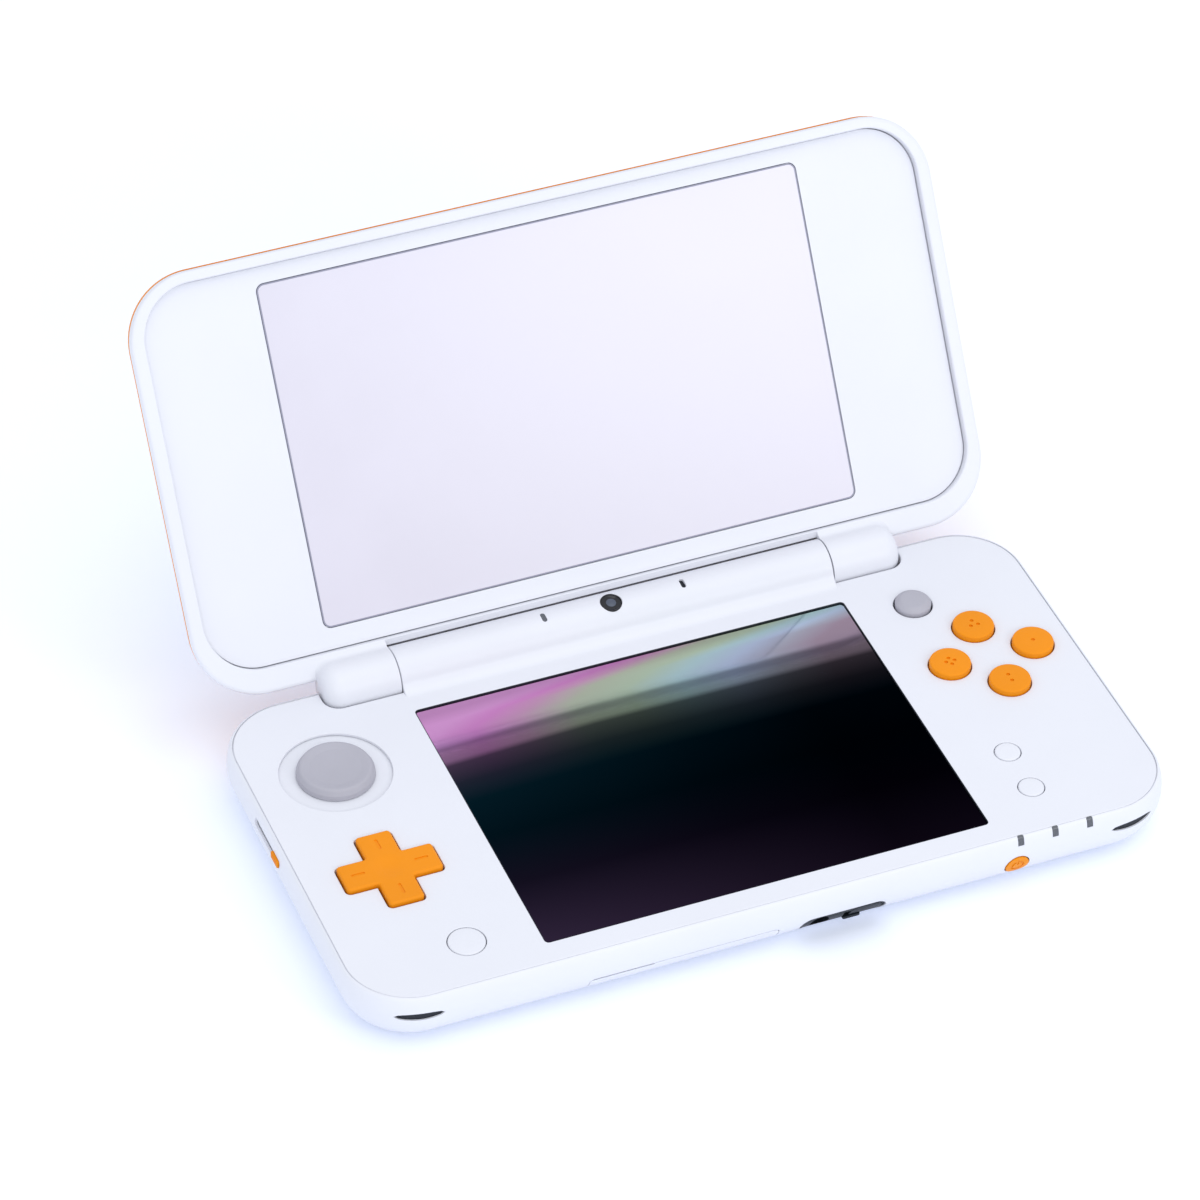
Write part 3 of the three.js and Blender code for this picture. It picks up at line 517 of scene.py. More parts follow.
def wall_levels(grow=0.0, steps=14):
    """The side wall: a deep belly curve below and a short rounded shoulder above."""
    shoulder = TOP - BELLY_HIGH
    out = []
    for i in range(steps + 1):
        t = math.pi / 2 * i / steps
        out.append((BELLY_HIGH * (1 - math.cos(t)), BELLY_IN * (1 - math.sin(t)) - grow))
    for i in range(1, steps // 2 + 1):
        t = math.pi / 2 * i / (steps // 2)
        out.append((BELLY_HIGH + shoulder * math.sin(t), SEAM_IN * (1 - math.cos(t)) - grow))
    return out


def cavity_levels(inset, steps=8):
    """The inner face of the floor and of the lower side wall."""
    out = []
    for i in range(steps + 1):
        t = math.pi / 2 * i / steps
        out.append((BELLY_HIGH - (BELLY_HIGH - FLOOR) * math.cos(t),
                    BELLY_IN - (BELLY_IN - inset) * math.sin(t)))
    return out


def case_body(name, grow=0.0):
    return area_body(name, BASE_AREA, wall_levels(grow))


def wall_piece(name, grow, thick, window):
    """A piece of the side wall between two offsets of its outline, inside a cutting body."""
    inner = [(-1, thick + BELLY_IN)] + cavity_levels(thick)[1:] + [(TOP + 2, thick + 0.8)]
    body = keep_within(case_body(name, grow), window)
    return carve(body, area_body("inner", BASE_AREA, inner))


POCKET_FRONT = HINGE[1] - BARREL_R - BARREL_GAP
POCKET_FLOOR = HINGE[2] - BARREL_R - BARREL_GAP


def pocket_outline(side, grow=0.0):
    """The room for one lid knuckle, open at the back of the case."""
    x0 = BARREL_END - 0.05 - grow
    x1 = KNUCKLE_END + BARREL_GAP + grow
    y0 = POCKET_FRONT - grow
    corner = KNUCKLE_ROUND + grow
    outline = [(x0, y0), *arc(x1 - corner, y0 + corner, corner, -90, 0, 10), (x1, BEHIND), (x0, BEHIND)]
    return [(side * x, y) for x, y in outline]


def knuckle_pocket(side, rim=0.0):
    """Cutter for one lid knuckle's room, with its rim rounded where it meets the face."""
    levels = [(POCKET_FLOOR, 0.0)]
    if rim:
        levels += [(z, rim - inset) for z, inset in reversed(flare_levels(TOP, rim))]
    levels.append((ABOVE, levels[-1][1]))
    return loft("pocket", [level(pocket_outline(side, grow), z) for z, grow in levels])


def flared(name, outline_at, z0, z1, rim):
    """Cutter whose sides widen by a quarter round over its last rim millimetres below z1."""
    levels = [(z0, 0.0)] + [(z, rim - inset) for z, inset in reversed(flare_levels(z1, rim))]
    levels.append((z1 + 5, rim))
    return loft(name, [level(outline_at(grow), z) for z, grow in levels])


def barrel_bay():
    end = BARREL_END + 0.1
    return block("bay", -end, end, POCKET_FRONT, BEHIND, POCKET_FLOOR, ABOVE)


PORT_LOW, PORT_HIGH = span("port_insert")
PORT_FLANGE = 0.6
PORT_THICK = 1.3
PORT_FACE_DEEP = 0.15          # the port plate's face follows the wall, this far inside it
PORT_FLOOR = PORT_HIGH[1] - PORT_THICK - 0.1
PORT_Z = (PORT_LOW[2] + PORT_HIGH[2]) / 2
STYLUS_LOW, STYLUS_HIGH = span("stylus")
JACK_LOW, JACK_HIGH = span("headphone_jack")
FLAP_LOW, FLAP_HIGH = span("card_flap")
POWER_LOW, POWER_HIGH = span("power_button")
SHOULDER_LOW, SHOULDER_HIGH = span("shoulder_button_left")
SHOULDER_SHORT = 3.0           # the visible button ends this far before the side of the case
TRIGGER_LOW, TRIGGER_HIGH = span("trigger_button_left")
VOLUME_LOW, VOLUME_HIGH = span("volume_slider")
SLIT = {"inner": 64.6, "outer": 73.6, "z": 8.48, "half": 0.8}     # a speaker slit's ends and height
POWER_R = (POWER_HIGH[0] - POWER_LOW[0]) / 2 - 0.25
POWER_X = (POWER_HIGH[0] + POWER_LOW[0]) / 2
POWER_Z = POWER_HIGH[2] - 0.75 - POWER_R
VOLUME_Z = (VOLUME_LOW[2] + VOLUME_HIGH[2]) / 2
VOLUME_KNOB = (VOLUME_LOW[1] + 0.8, VOLUME_HIGH[1] - 0.8)
VOLUME_TRAVEL = joint("volume_slide")["range_m"][1] / MM
SLOT_END = VOLUME_KNOB[1] + VOLUME_TRAVEL + 0.3


def port_outline(grow=0.0):
    low, high = PORT_LOW, PORT_HIGH
    edge = PORT_FLANGE - grow
    r = (high[2] - low[2]) / 2 - edge
    return box_outline(low[0] + edge, high[0] - edge, low[2] + edge, high[2] - edge, r, 14)


def slit_outline(side):
    """Thin speaker slit whose ends come to soft points."""
    x0, x1 = SLIT["inner"], SLIT["outer"]
    count = 12
    upper = [(x0 + (x1 - x0) * i / count, SLIT["half"] * math.sin(math.pi * i / count) ** 0.4)
             for i in range(count + 1)]
    ring = upper + [(x, -h) for x, h in upper[-2:0:-1]]
    return [(side * x, SLIT["z"] + h) for x, h in ring]


def upright_box(low, high, grow, r, steps=8):
    """Rounded outline in X and Z of a box given by two corners, widened all round."""
    return box_outline(low[0] - grow, high[0] + grow, low[2] - grow, high[2] + grow, r, steps)


def shoulder_window(side, grow=0.0):
    """Where a shoulder button fills the wall; its inner end gets more room, for the button to turn."""
    low, high = SHOULDER_LOW, SHOULDER_HIGH
    limits = sorted((-side * (low[0] + SHOULDER_SHORT - grow), -side * (high[0] + 2.2 * grow)))
    return block("window", *limits, low[1] - grow, 50, low[2] - grow, high[2] + grow)


def trigger_window(side, grow=0.0):
    low, high = TRIGGER_LOW, TRIGGER_HIGH
    limits = sorted((-side * (low[0] - grow), -side * (high[0] + grow)))
    return block("window", *limits, 30, 50, low[2] - grow, high[2] + grow, 0.5)


def flap_window(grow=0.0):
    return push_y("window", upright_box(FLAP_LOW, FLAP_HIGH, grow, 0.9 + grow), AHEAD, WITHIN)


def rear_window(node, grow):
    return push_y("window", upright_box(*span(node), grow, 1.0), 36, BEHIND)


LIGHTS = [f"status_light_{i}" for i in (1, 2, 3)]
SCREWS = [f"case_screw_{i}" for i in (1, 2, 3, 4)]
CAMERAS = ["outer_camera_1", "outer_camera_2"]
REAR_INLETS = ["charging_inlet", "infrared_window"]
SCREW_SEAT = [(0, -1), (2.25, -1), (2.0, 0.25), (2.0, 0.75), (0, 0.75)]        # (radius, z)
CAMERA_SEAT = [(0, -1), (3.4, -1), (3.1, 0.2), (3.1, 3), (0, 3)]


def light_window(node, grow=0.0):
    low, high = span(node)
    front = BASE_AREA["y0"]
    return block("window", low[0] - grow, high[0] + grow, front - 1, front + SEAM_IN + 0.09,
                 low[2] - grow, TOP + 1, 0.3)


def make_case():
    shell = case_body("case_shell")
    hollow = area_body("hollow", BASE_AREA, cavity_levels(WALL) + [(FACE_BOTTOM + 0.02, WALL + 0.8)])
    mouth = area_body("mouth", BASE_AREA, [(FACE_BOTTOM, SEAM_IN - 0.02), (TOP + 2, SEAM_IN - 0.02)])
    tools = [hollow, mouth, barrel_bay()]
    for side, _ in SIDES:
        tools += [knuckle_pocket(side), shoulder_window(side, EDGE_GAP), trigger_window(side, EDGE_GAP)]
        tools.append(push_y("slit", slit_outline(side), AHEAD, WITHIN))
    tools += [light_window(node, 0.05) for node in LIGHTS]
    tools.append(push_y("ports", port_outline(), AHEAD, PORT_FLOOR))
    tools.append(disc_y("power", POWER_X, POWER_Z, POWER_R + 0.2, AHEAD, -34))
    tools.append(flap_window(0.14))
    tools += [rear_window(node, 0.12) for node in REAR_INLETS]
    slot = box_outline(VOLUME_KNOB[0] - EDGE_GAP, SLOT_END, VOLUME_Z - 0.85, VOLUME_Z + 0.85, 0.6)
    tools.append(through_x("slot", slot, -82, -76))
    edge = BASE_AREA["x0"]
    tools.append(block("strip_room", edge + 0.5, edge + 3, VOLUME_KNOB[0] - VOLUME_TRAVEL - 1,
                       SLOT_END + VOLUME_TRAVEL + 1, VOLUME_Z - 1.3, VOLUME_Z + 1.3))
    for nodes, seat, steps in ((SCREWS, SCREW_SEAT, 40), (CAMERAS, CAMERA_SEAT, 48)):
        for node in nodes:
            tools.append(lathe("seat", seat, steps, (*middle(node)[:2], 0)))
    carve(shell, *tools)
    for side, word in SIDES:
        heights = (POCKET_FLOOR - 1.2, FACE_BOTTOM - 0.1)
        liner = loft("liner", [level(pocket_outline(side, 1.2), z) for z in heights])
        keep_within(liner, case_body("limit", -0.05))
        carve(liner, knuckle_pocket(side), barrel_bay())
        piece(liner, "base", WHITE).name = f"pocket_liner_{word}"
    return piece(shell, "base", WHITE, "lower_case")


# ---- face with its hinge barrel

SCREEN_LOW, SCREEN_HIGH = span("touch_screen")
PAD = middle("circle_pad_cap")
PAD_RING = 10.4                    # radius of the face's round opening over the circle pad
PAD_ROOM = 15.3                    # and of the thinned face round it, where the skirt slides
CROSS_LOW, CROSS_HIGH = span("direction_pad")
CROSS = [(a + b) / 2 for a, b in zip(CROSS_LOW, CROSS_HIGH)]
CROSS_HALF = (CROSS_HIGH[0] - CROSS_LOW[0]) / 2
CROSS_ARM = 3.3                    # half the width of an arm of the direction pad
FLANGE = 0.75                      # a button's flange stands this far out of its cap
CLUSTER = ["button_north", "button_east", "button_south", "button_west"]
SMALL = ["home_button", "start_button", "select_button"]
NUB_LOW, NUB_HIGH = span("pointing_nub")
NUB_R = (NUB_HIGH[0] - NUB_LOW[0]) / 2


def cap_radius(node):
    low, high = span(node)
    return (high[0] - low[0]) / 2 - FLANGE


def cross_outline(grow=0.0):
    """The direction pad's outline; its outer corners have radius o and its inner ones i."""
    a = CROSS_ARM + grow
    b = CROSS_HALF + grow
    o = max(0.7 + grow, 0.1)
    i = max(0.5 - grow, 0.1)
    corners = [(a, -b, o), (a, -a, i), (b, -a, o), (b, a, o), (a, a, i), (a, b, o),
               (-a, b, o), (-a, a, i), (-b, a, o), (-b, -a, o), (-a, -a, i), (-a, -b, o)]
    return soften([(CROSS[0] + x, CROSS[1] + y, r) for x, y, r in corners], 5)


def fillet_section():
    """Barrel with the soft fillet that joins it to the face, in Y and Z."""
    rise = FACE_FILLET + TOP - HINGE[2]
    y = HINGE[1] - math.sqrt((BARREL_R + FACE_FILLET) ** 2 - rise ** 2)
    meet = math.degrees(math.atan2(-rise, HINGE[1] - y))
    under = math.degrees(math.asin((FACE_BOTTOM - HINGE[2]) / BARREL_R))
    bend = arc(y, TOP + FACE_FILLET, FACE_FILLET, -90, meet, 10)
    barrel = arc(HINGE[1], HINGE[2], BARREL_R, meet + 180, -180 - under, 60)
    return [(y, FACE_BOTTOM), *bend, *barrel[1:]]


def radial(angle):
    """Frame that stands on the hinge axis with +Z pointing out at an angle from +Y towards +Z."""
    return Matrix.Translation(HINGE) @ Matrix.Rotation(math.radians(angle - 90), 4, "X")


LENS = {"x": middle("inner_camera")[0], "angle": 99.0}
LENS_R = 2.05
MICROPHONE = {"x": -13.8, "angle": 95.0}
NOTICE = {"x": middle("notice_light")[0], "angle": 97.0}
CAPSULE_HALF = (0.475, 1.1)        # of the two small openings beside the camera


def on_barrel(obj, at):
    """Moves a part that stands on Z = 0 to its place on the hinge axis."""
    return moved(obj, radial(at["angle"]) @ Matrix.Translation((at["x"], 0, 0)))


def capsule(name, at, grow, z0, z1, rim=0.0):
    w, h = (half + grow for half in CAPSULE_HALF)
    body = loft(name, [level(box_outline(-w - g, w + g, -h - g, h + g, w + g), z)
                       for z, g in ((z0, 0), (z1 - rim, 0), (z1, rim))])
    return on_barrel(body, at)


SCREEN_AREA = {"x0": SCREEN_LOW[0], "x1": SCREEN_HIGH[0],
               "y0": SCREEN_LOW[1], "y1": SCREEN_HIGH[1], "r": 0.7}
GASKET = 0.16                      # width of the black seal round the touch screen
SCREEN_DEEP = 0.34                 # the touch screen lies this far under the face


def face_holes():
    """Cutters for the screen and the controls in the face."""
    def screen(g):
        return area_outline(SCREEN_AREA, -GASKET - g, 10, 0.5)

    holes = [(*PAD[:2], PAD_RING, 0.15), (*middle("pointing_nub")[:2], NUB_R + 0.3, 0.2)]
    for nodes, gap in ((CLUSTER, CLUSTER_GAP), (SMALL, RUNNING_GAP)):
        holes += [(*middle(node)[:2], cap_radius(node) + gap, 0.15) for node in nodes]
    tools = [flared("window", screen, 0, TOP, 0.05)]
    for x, y, r, rim in holes:
        tools.append(flared("hole", lambda g, x=x, y=y, r=r: circle_outline(x, y, r + g), 0, TOP, rim))
    tools.append(flared("hole", lambda g: cross_outline(0.35 + g), 0, TOP, 0.15))
    under = [(0, 0), (PAD_ROOM, 0), (PAD_ROOM, TOP - 0.5), (0, TOP - 0.5)]
    tools.append(lathe("under", under, 64, (*PAD[:2], 0)))
    return tools


def make_face():
    inset = SEAM_IN + SEAM_GAP
    lip = SEAM_IN + 0.02                 # below the seam the panel fills the case, so the seam is shallow
    levels = [(FACE_BOTTOM, lip), (TOP - 0.3, lip), (TOP - 0.3, inset)] + round_over(TOP, 0.25, 4, inset)
    face = area_body("face_panel", BASE_AREA, levels)
    end = BARREL_END + 0.1
    bay = block("bay", -end, end, HINGE[1] - 3.95, BEHIND, 0, ABOVE)
    carve(face, knuckle_pocket(-1, 0.28), knuckle_pocket(1, 0.28), bay)
    end = BARREL_END + 0.15
    cells = [-end, end]                  # each opening gets a cell of its own, for clean shading round it
    for at, half in ((LENS, 2.8), (MICROPHONE, 0.9), (NOTICE, 0.9)):
        cells += [at["x"] - half, at["x"] + half]
    barrel = push_x("barrel", [(x, fillet_section()) for x in sorted(cells)])
    rounded_edges(barrel, 0.22, 60, 3)
    fuse(face, barrel)
    bore_end = BARREL_END + 1
    tools = [through_x("bore", arc(HINGE[1], HINGE[2], 3.6, 0, 350, 35), -bore_end, bore_end)]
    tools += face_holes()
    lens = lathe("lens", [(0, 2), (LENS_R + 0.06, 2), (LENS_R + 0.06, 5.0), (LENS_R + 0.3, 5.2),
                          (LENS_R + 0.3, 8), (0, 8)], 56)
    tools.append(on_barrel(lens, LENS))
    tools += [capsule("slot", at, 0, 2, 5.5, 0.15) for at in (MICROPHONE, NOTICE)]
    carve(face, *tools)
    return piece(face, "base", WHITE, "face_plate")


# ---- screens

def make_touch_screen():
    def slab(name, *levels):
        return area_body(name, SCREEN_AREA, levels, 10, 0.5)

    low, high = SCREEN_LOW[2], TOP - SCREEN_DEEP
    glass = slab("touch_window", (low, 0), *round_over(high, 0.1))
    seal = slab("touch_seal", (low, 0.02 - GASKET), (TOP - 0.03, 0.02 - GASKET))
    carve(seal, slab("inside", (low - 1, -0.02), (high + 1, -0.02)))
    piece(seal, "base", DARK)
    return piece(glass, "base", TOUCH, "touch_screen")


# ---- controls

def turned_profile(corners, steps=5):
    """A lathe profile whose (radius, z, rounding) corners are replaced by arcs."""
    closed = soften([(0, corners[0][1], 0.0), *corners, (0, corners[-1][1], 0.0)], steps)
    return [(max(r, 0.0), z) for r, z in closed]


def make_circle_pad():
    low, high = span("circle_pad_cap")
    r, top = (high[0] - low[0]) / 2, high[2]
    base = TOP - 0.5
    cap = lathe("thumb_pad_cap", turned_profile([
        (3.0, low[2], 0.1), (3.0, base, 0.05), (r, base, 0.15), (r - 0.12, TOP + 0.5, 0.3),
        (r - 0.8, top, 0.7), (r - 2.6, top - 0.4, 1.7), (0.4, top - 0.62, 0.3),
    ], 9), 96, (*PAD[:2], 0))
    piece(cap, "circle_pad", GREY, "circle_pad_cap", angle=60)
    low, high = span("circle_pad_skirt")
    r = (high[0] - low[0]) / 2
    skirt = lathe("thumb_pad_skirt", turned_profile([
        (3.3, low[2], 0.05), (r, low[2], 0.2), (r, high[2], 0.2), (3.3, high[2], 0.05),
    ], 4)[1:-1], 96, (*PAD[:2], 0))
    piece(skirt, "circle_pad", WHITE, "circle_pad_skirt", angle=40)


def groove(x, y, z, length, width, angle, depth=0.16):
    """Cutter for a shallow round-ended dash in a button's top."""
    half = length / 2
    body = loft("groove", [level(box_outline(-half, half, -width / 2, width / 2, width / 2), h)
                           for h in (z - depth, z + 2)])
    return moved(body, Matrix.Translation((x, y, 0)) @ Matrix.Rotation(math.radians(angle), 4, "Z"))


def make_direction_pad():
    top = CROSS_HIGH[2]
    levels = [(CROSS_LOW[2], 0.0)] + [(z, -i) for z, i in round_over(top, 0.5, 6)]
    pad = loft("direction_key", [level(cross_outline(grow), z) for z, grow in levels])
    bowl = [(0.25 * i, top - 0.26 * (1 + math.cos(math.pi * i / 14)) / 2 + 0.001) for i in range(15)]
    dish = lathe("dish", bowl + [(3.5, top + 3), (0, top + 3)], 64, (CROSS[0], CROSS[1], 0))
    reach = CROSS_HALF - 3.1
    marks = []
    for angle in (0, 90, 180, 270):
        t = math.radians(angle)
        x, y = CROSS[0] + reach * math.cos(t), CROSS[1] + reach * math.sin(t)
        marks.append(groove(x, y, top, 2.6, 0.55, angle))
    carve(pad, dish, *marks)
    return piece(pad, "direction_pad", ORANGE, "direction_pad")


def button_body(name, node, rounding, dome):
    """A round button with a flange under the face and a low dome."""
    low, high = span(node)
    r, top = cap_radius(node), high[2]
    return lathe(name, turned_profile([
        (r + FLANGE, low[2], 0.1), (r + FLANGE, low[2] + 0.7, 0.1), (r, low[2] + 0.7, 0.1),
        (r - 0.02, top - dome, rounding), (r * 0.5, top - dome * 0.2, 4.0),
    ], 6)[:-1] + [(0, top)], 72, (*middle(node)[:2], 0))


DOTS = {"button_north": 3, "button_east": 1, "button_south": 2, "button_west": 4}   # plain marks


def make_cluster():
    for node in CLUSTER:
        x, y, _ = middle(node)
        top = span(node)[1][2]
        cap = button_body(f"{node}_cap", node, 0.36, 0.1)
        count = DOTS[node]
        ring = 0.0 if count == 1 else 0.85
        marks = []
        for i in range(count):
            t = 2 * math.pi * i / count + math.pi / 2
            place = (x + ring * math.cos(t), y + ring * math.sin(t), 0)
            marks.append(lathe("dot", [(0, top - 0.3), (0.36, top - 0.3), (0.42, top + 1), (0, top + 1)],
                               20, place))
        carve(cap, *marks)
        piece(cap, node, ORANGE, node)


def make_small_buttons():
    for node in SMALL:
        cap = button_body(f"{node}_cap", node, 0.3, 0.06)
        piece(cap, node, WHITE, node)


def make_nub():
    x, y, _ = middle("pointing_nub")
    r, top = NUB_R, NUB_HIGH[2]
    body = lathe("nub_cap", turned_profile([
        (r - 0.5, NUB_LOW[2], 0.2), (r, NUB_LOW[2] + 1.2, 0.4), (r, top - 0.9, 0.5),
        (r - 1.0, top - 0.25, 1.0),
    ], 7)[:-1] + [(0, top)], 64, (x, y, 0))
    return piece(body, "pointing_nub", GREY, "pointing_nub", angle=60)


def make_power_button():
    cap = disc_y("power_cap", POWER_X, POWER_Z, POWER_R, -38.8, -34.6, 56)
    keep_within(cap, case_body("limit", 0.2))
    rounded_edges(cap, 0.2, 40, 3)
    flange = disc_y("flange", POWER_X, POWER_Z + 0.5, POWER_R + 0.25, -34.7, -34.1)
    fuse(cap, flange)
    ring = disc_y("ring", POWER_X, POWER_Z, 1.25, AHEAD, -37)
    carve(ring, disc_y("core", POWER_X, POWER_Z, 0.95, AHEAD - 1, -36),
          block("gap", POWER_X - 0.4, POWER_X + 0.4, AHEAD - 5, -30, POWER_Z + 0.2, POWER_Z + 3))
    stroke = block("stroke", POWER_X - 0.15, POWER_X + 0.15, AHEAD, -37, POWER_Z + 0.3, POWER_Z + 1.5)
    for mark in (ring, stroke):
        keep_within(mark, carve(case_body("outside", 2.0), case_body("limit", 0.06)))
    carve(cap, ring, stroke)
    return piece(cap, "power_button", ORANGE, "power_button")


def make_volume():
    low, high = VOLUME_LOW, VOLUME_HIGH
    edge = BASE_AREA["x0"]
    knob = block("knob", edge - 0.35, edge + 2.6, *VOLUME_KNOB, VOLUME_Z - 0.7, VOLUME_Z + 0.7, 0.2)
    rounded_edges(knob, 0.15, 40, 2)
    ribs = []
    for i in range(5):
        y = VOLUME_KNOB[0] + (VOLUME_KNOB[1] - VOLUME_KNOB[0]) * (i + 1) / 6
        ribs.append(block("rib", edge - 1, edge - 0.2, y - 0.1, y + 0.1, VOLUME_Z - 2, VOLUME_Z + 2))
    carve(knob, *ribs)
    plate = block("plate", edge + 2.5, high[0], low[1], high[1], low[2], high[2], 0.3)
    fuse(knob, plate)
    start = VOLUME_KNOB[0] - VOLUME_TRAVEL - 0.5
    strip = block("strip", edge + 0.65, edge + 1.0, start, SLOT_END + 0.3, VOLUME_Z - 1.1, VOLUME_Z + 1.1)
    piece(strip, "volume_slider", WHITE).name = "volume_strip"
    return piece(knob, "volume_slider", ORANGE, "volume_slider")


def make_shoulders():
    for side, word in SIDES:
        for kind, proud, thick, window in (("shoulder", 0.3, 2.4, shoulder_window(side)),
                                           ("trigger", 0.5, 2.6, trigger_window(side))):
            button = wall_piece(f"{kind}_{word}_cap", proud, thick, window)
            rounded_edges(button, 0.3, 45, 3)
            node = f"{kind}_button_{word}"
            piece(button, node, ORANGE, node)


# ---- front and rear edges

def make_flap():
    flap = wall_piece("card_door", 0.0, 1.3, flap_window())
    notch = block("notch", FLAP_LOW[0] + 0.5, FLAP_LOW[0] + 12.2, AHEAD, -37.2,
                  FLAP_HIGH[2] - 0.3, FLAP_HIGH[2] + 1, 0.1)
    carve(flap, notch)
    rounded_edges(flap, 0.12, 50, 2)
    return piece(flap, "card_flap", WHITE, "card_flap")


def make_ports():
    jack_x = (JACK_LOW[0] + JACK_HIGH[0]) / 2 - 0.1
    plate = keep_within(push_y("port_plate", port_outline(-0.08), AHEAD, PORT_FLOOR + 0.3),
                        case_body("limit", -PORT_FACE_DEEP))
    rounded_edges(plate, 0.15, 40, 2)
    fuse(plate, push_y("flange", port_outline(PORT_FLANGE), PORT_FLOOR + 0.1, PORT_HIGH[1]))
    lip_room = block("notch", LIP["x0"] - 0.2, LIP["x0"] + 2.2, AHEAD, LIP["inner"] + 0.2,
                     LIP["z0"] - 0.3, LIP["z1"] + 2.1)
    carve(plate, push_y("hollow", stylus_outline(0.2), AHEAD, -30),
          disc_y("hole", jack_x, PORT_Z, 1.85, AHEAD, -33),
          disc_y("hole", jack_x, PORT_Z, 2.1, -33.3, -30), lip_room)
    return piece(plate, "base", DARK, "port_insert")


STYLUS_WIDE = 6.4
STYLUS_NIB = ((9, 1, 1), (6, 0.94, 0.94), (5.6, 0.55, 0.66),      # (distance from its tip, width and
              (1.0, 0.3, 0.36), (0.25, 0.2, 0.24), (0, 0.05, 0.06))   # height as a part of the full ones)
LIP = {"x0": STYLUS_LOW[0], "x1": STYLUS_LOW[0] + 3.4, "front": -36.6, "inner": -34.1,
       "z0": PORT_Z - 1.5, "z1": PORT_Z - 0.9}


def stylus_outline(grow=0.0):
    x1 = STYLUS_HIGH[0] + grow
    half = STYLUS_HIGH[2] - PORT_Z + grow
    return box_outline(x1 - STYLUS_WIDE - 2 * grow, x1, PORT_Z - half, PORT_Z + half, half, 10)


def make_stylus():
    x = STYLUS_HIGH[0] - STYLUS_WIDE / 2
    back = STYLUS_HIGH[1]
    rings = []
    for before_tip, wide, high in ((back - AHEAD, 1, 1), *STYLUS_NIB):
        rings.append([(x + (a - x) * wide, back - before_tip, PORT_Z + (b - PORT_Z) * high)
                      for a, b in stylus_outline()])
    pen = keep_within(loft("stylus_pen", rings), case_body("limit", -PORT_FACE_DEEP))
    rounded_edges(pen, 0.15, 50, 2)
    lip = block("lip", LIP["x0"], LIP["x1"], LIP["front"], LIP["inner"], LIP["z0"], LIP["z1"], 0.3)
    fuse(pen, rounded_edges(lip, 0.12, 50, 2))
    top = STYLUS_HIGH[2]
    carve(pen, *[block("groove", x - 1.6, x + 1.6, -29 + 1.1 * i, -28.5 + 1.1 * i, top - 0.25, top + 1)
                 for i in range(6)])
    return piece(pen, "stylus", DARK, "stylus")


def make_lights():
    for node in LIGHTS:
        window = keep_within(case_body(f"{node}_window", -0.03), light_window(node))
        piece(window, "base", LENS_GREY, node)


def make_speaker_grilles():
    for side, word in SIDES:
        limits = sorted((side * (SLIT["inner"] - 1), side * (SLIT["outer"] + 1)))
        window = block("window", *limits, AHEAD, WITHIN, SLIT["z"] - 1.1, SLIT["z"] + 1.1)
        grille = keep_within(case_body(f"speaker_grille_{word}", -0.3), window)
        carve(grille, area_body("inner", BASE_AREA, [(0, 3.2), (TOP, 3.2)]))
        piece(grille, "base", DARK)


def make_rear():
    for node, look in zip(REAR_INLETS, (DARK, BLACK_GLASS)):
        low, high = span(node)
        outline = upright_box(low, high, 0, 1.0)
        body = keep_within(push_y(f"{node}_face", outline, low[1], BEHIND), case_body("limit", -0.3))
        if node == "charging_inlet":
            carve(body, push_y("mouth", upright_box(low, high, -0.6, 0.6), low[1] + 1.2, BEHIND + 10))
            z = middle(node)[2]
            tongue = box_outline(low[0] + 1.6, high[0] - 1.6, z - 0.35, z + 0.35, 0.1)
            fuse(body, push_y("tongue", tongue, low[1] + 1.0, high[1] - 1.5))
        piece(body, "base", look, node)


def make_underside():
    for node in SCREWS:
        x, y, _ = middle(node)
        z, top = span(node)[0][2], span(node)[1][2]
        head = lathe(f"{node}_head", turned_profile([
            (1.5, z, 0.15), (1.8, z + 0.25, 0.15), (1.8, 0.65, 0.05), (0.8, 0.65, 0.02), (0.8, top, 0.1),
        ], 4), 40, (x, y, 0))
        carve(head, *[block("cross", x - a, x + a, y - b, y + b, -1, z + 0.35)
                      for a, b in ((1.0, 0.16), (0.16, 1.0))])
        piece(head, "base", STEEL, node)
    for node in CAMERAS:
        z, top = span(node)[0][2], span(node)[1][2]
        lens = lathe(f"{node}_lens", [
            (0, z + 1.3), (0.6, z + 1.28), (1.1, z + 1.15), (1.15, z + 0.5), (1.9, z + 0.3),
            (2.1, z + 0.05), (2.9, z), (3.0, z + 0.1), (3.0, top), (0, top),
        ], 56, (*middle(node)[:2], 0))
        piece(lens, "base", BLACK_GLASS, node)


def make_barrel_details():
    camera = lathe("face_camera", turned_profile([
        (LENS_R, 3.75, 0.05), (LENS_R, 5.0, 0.12), (1.88, 5.0, 0.08), (1.84, 4.8, 0.02),
    ], 4)[:-1] + [(1.0, 4.8), (0.95, 4.72), (0.5, 4.8), (0, 4.83)], 56)
    piece(on_barrel(camera, LENS), "base", BLACK_GLASS, "inner_camera")
    pupil = lathe("camera_pupil", [(0, 4.5), (0.96, 4.5), (0.96, 4.83), (0.8, 4.88), (0.4, 4.93),
                                   (0, 4.95)], 40)
    piece(on_barrel(pupil, LENS), "base", PUPIL)
    piece(capsule("notice_window", NOTICE, -0.02, 3.75, 4.55), "base", DARK, "notice_light")
    piece(capsule("microphone_mesh", MICROPHONE, -0.02, 3.7, 4.98), "base", LENS_GREY)


# ---- lid, in its own frame: +Y up the lid, +Z out of its inner face

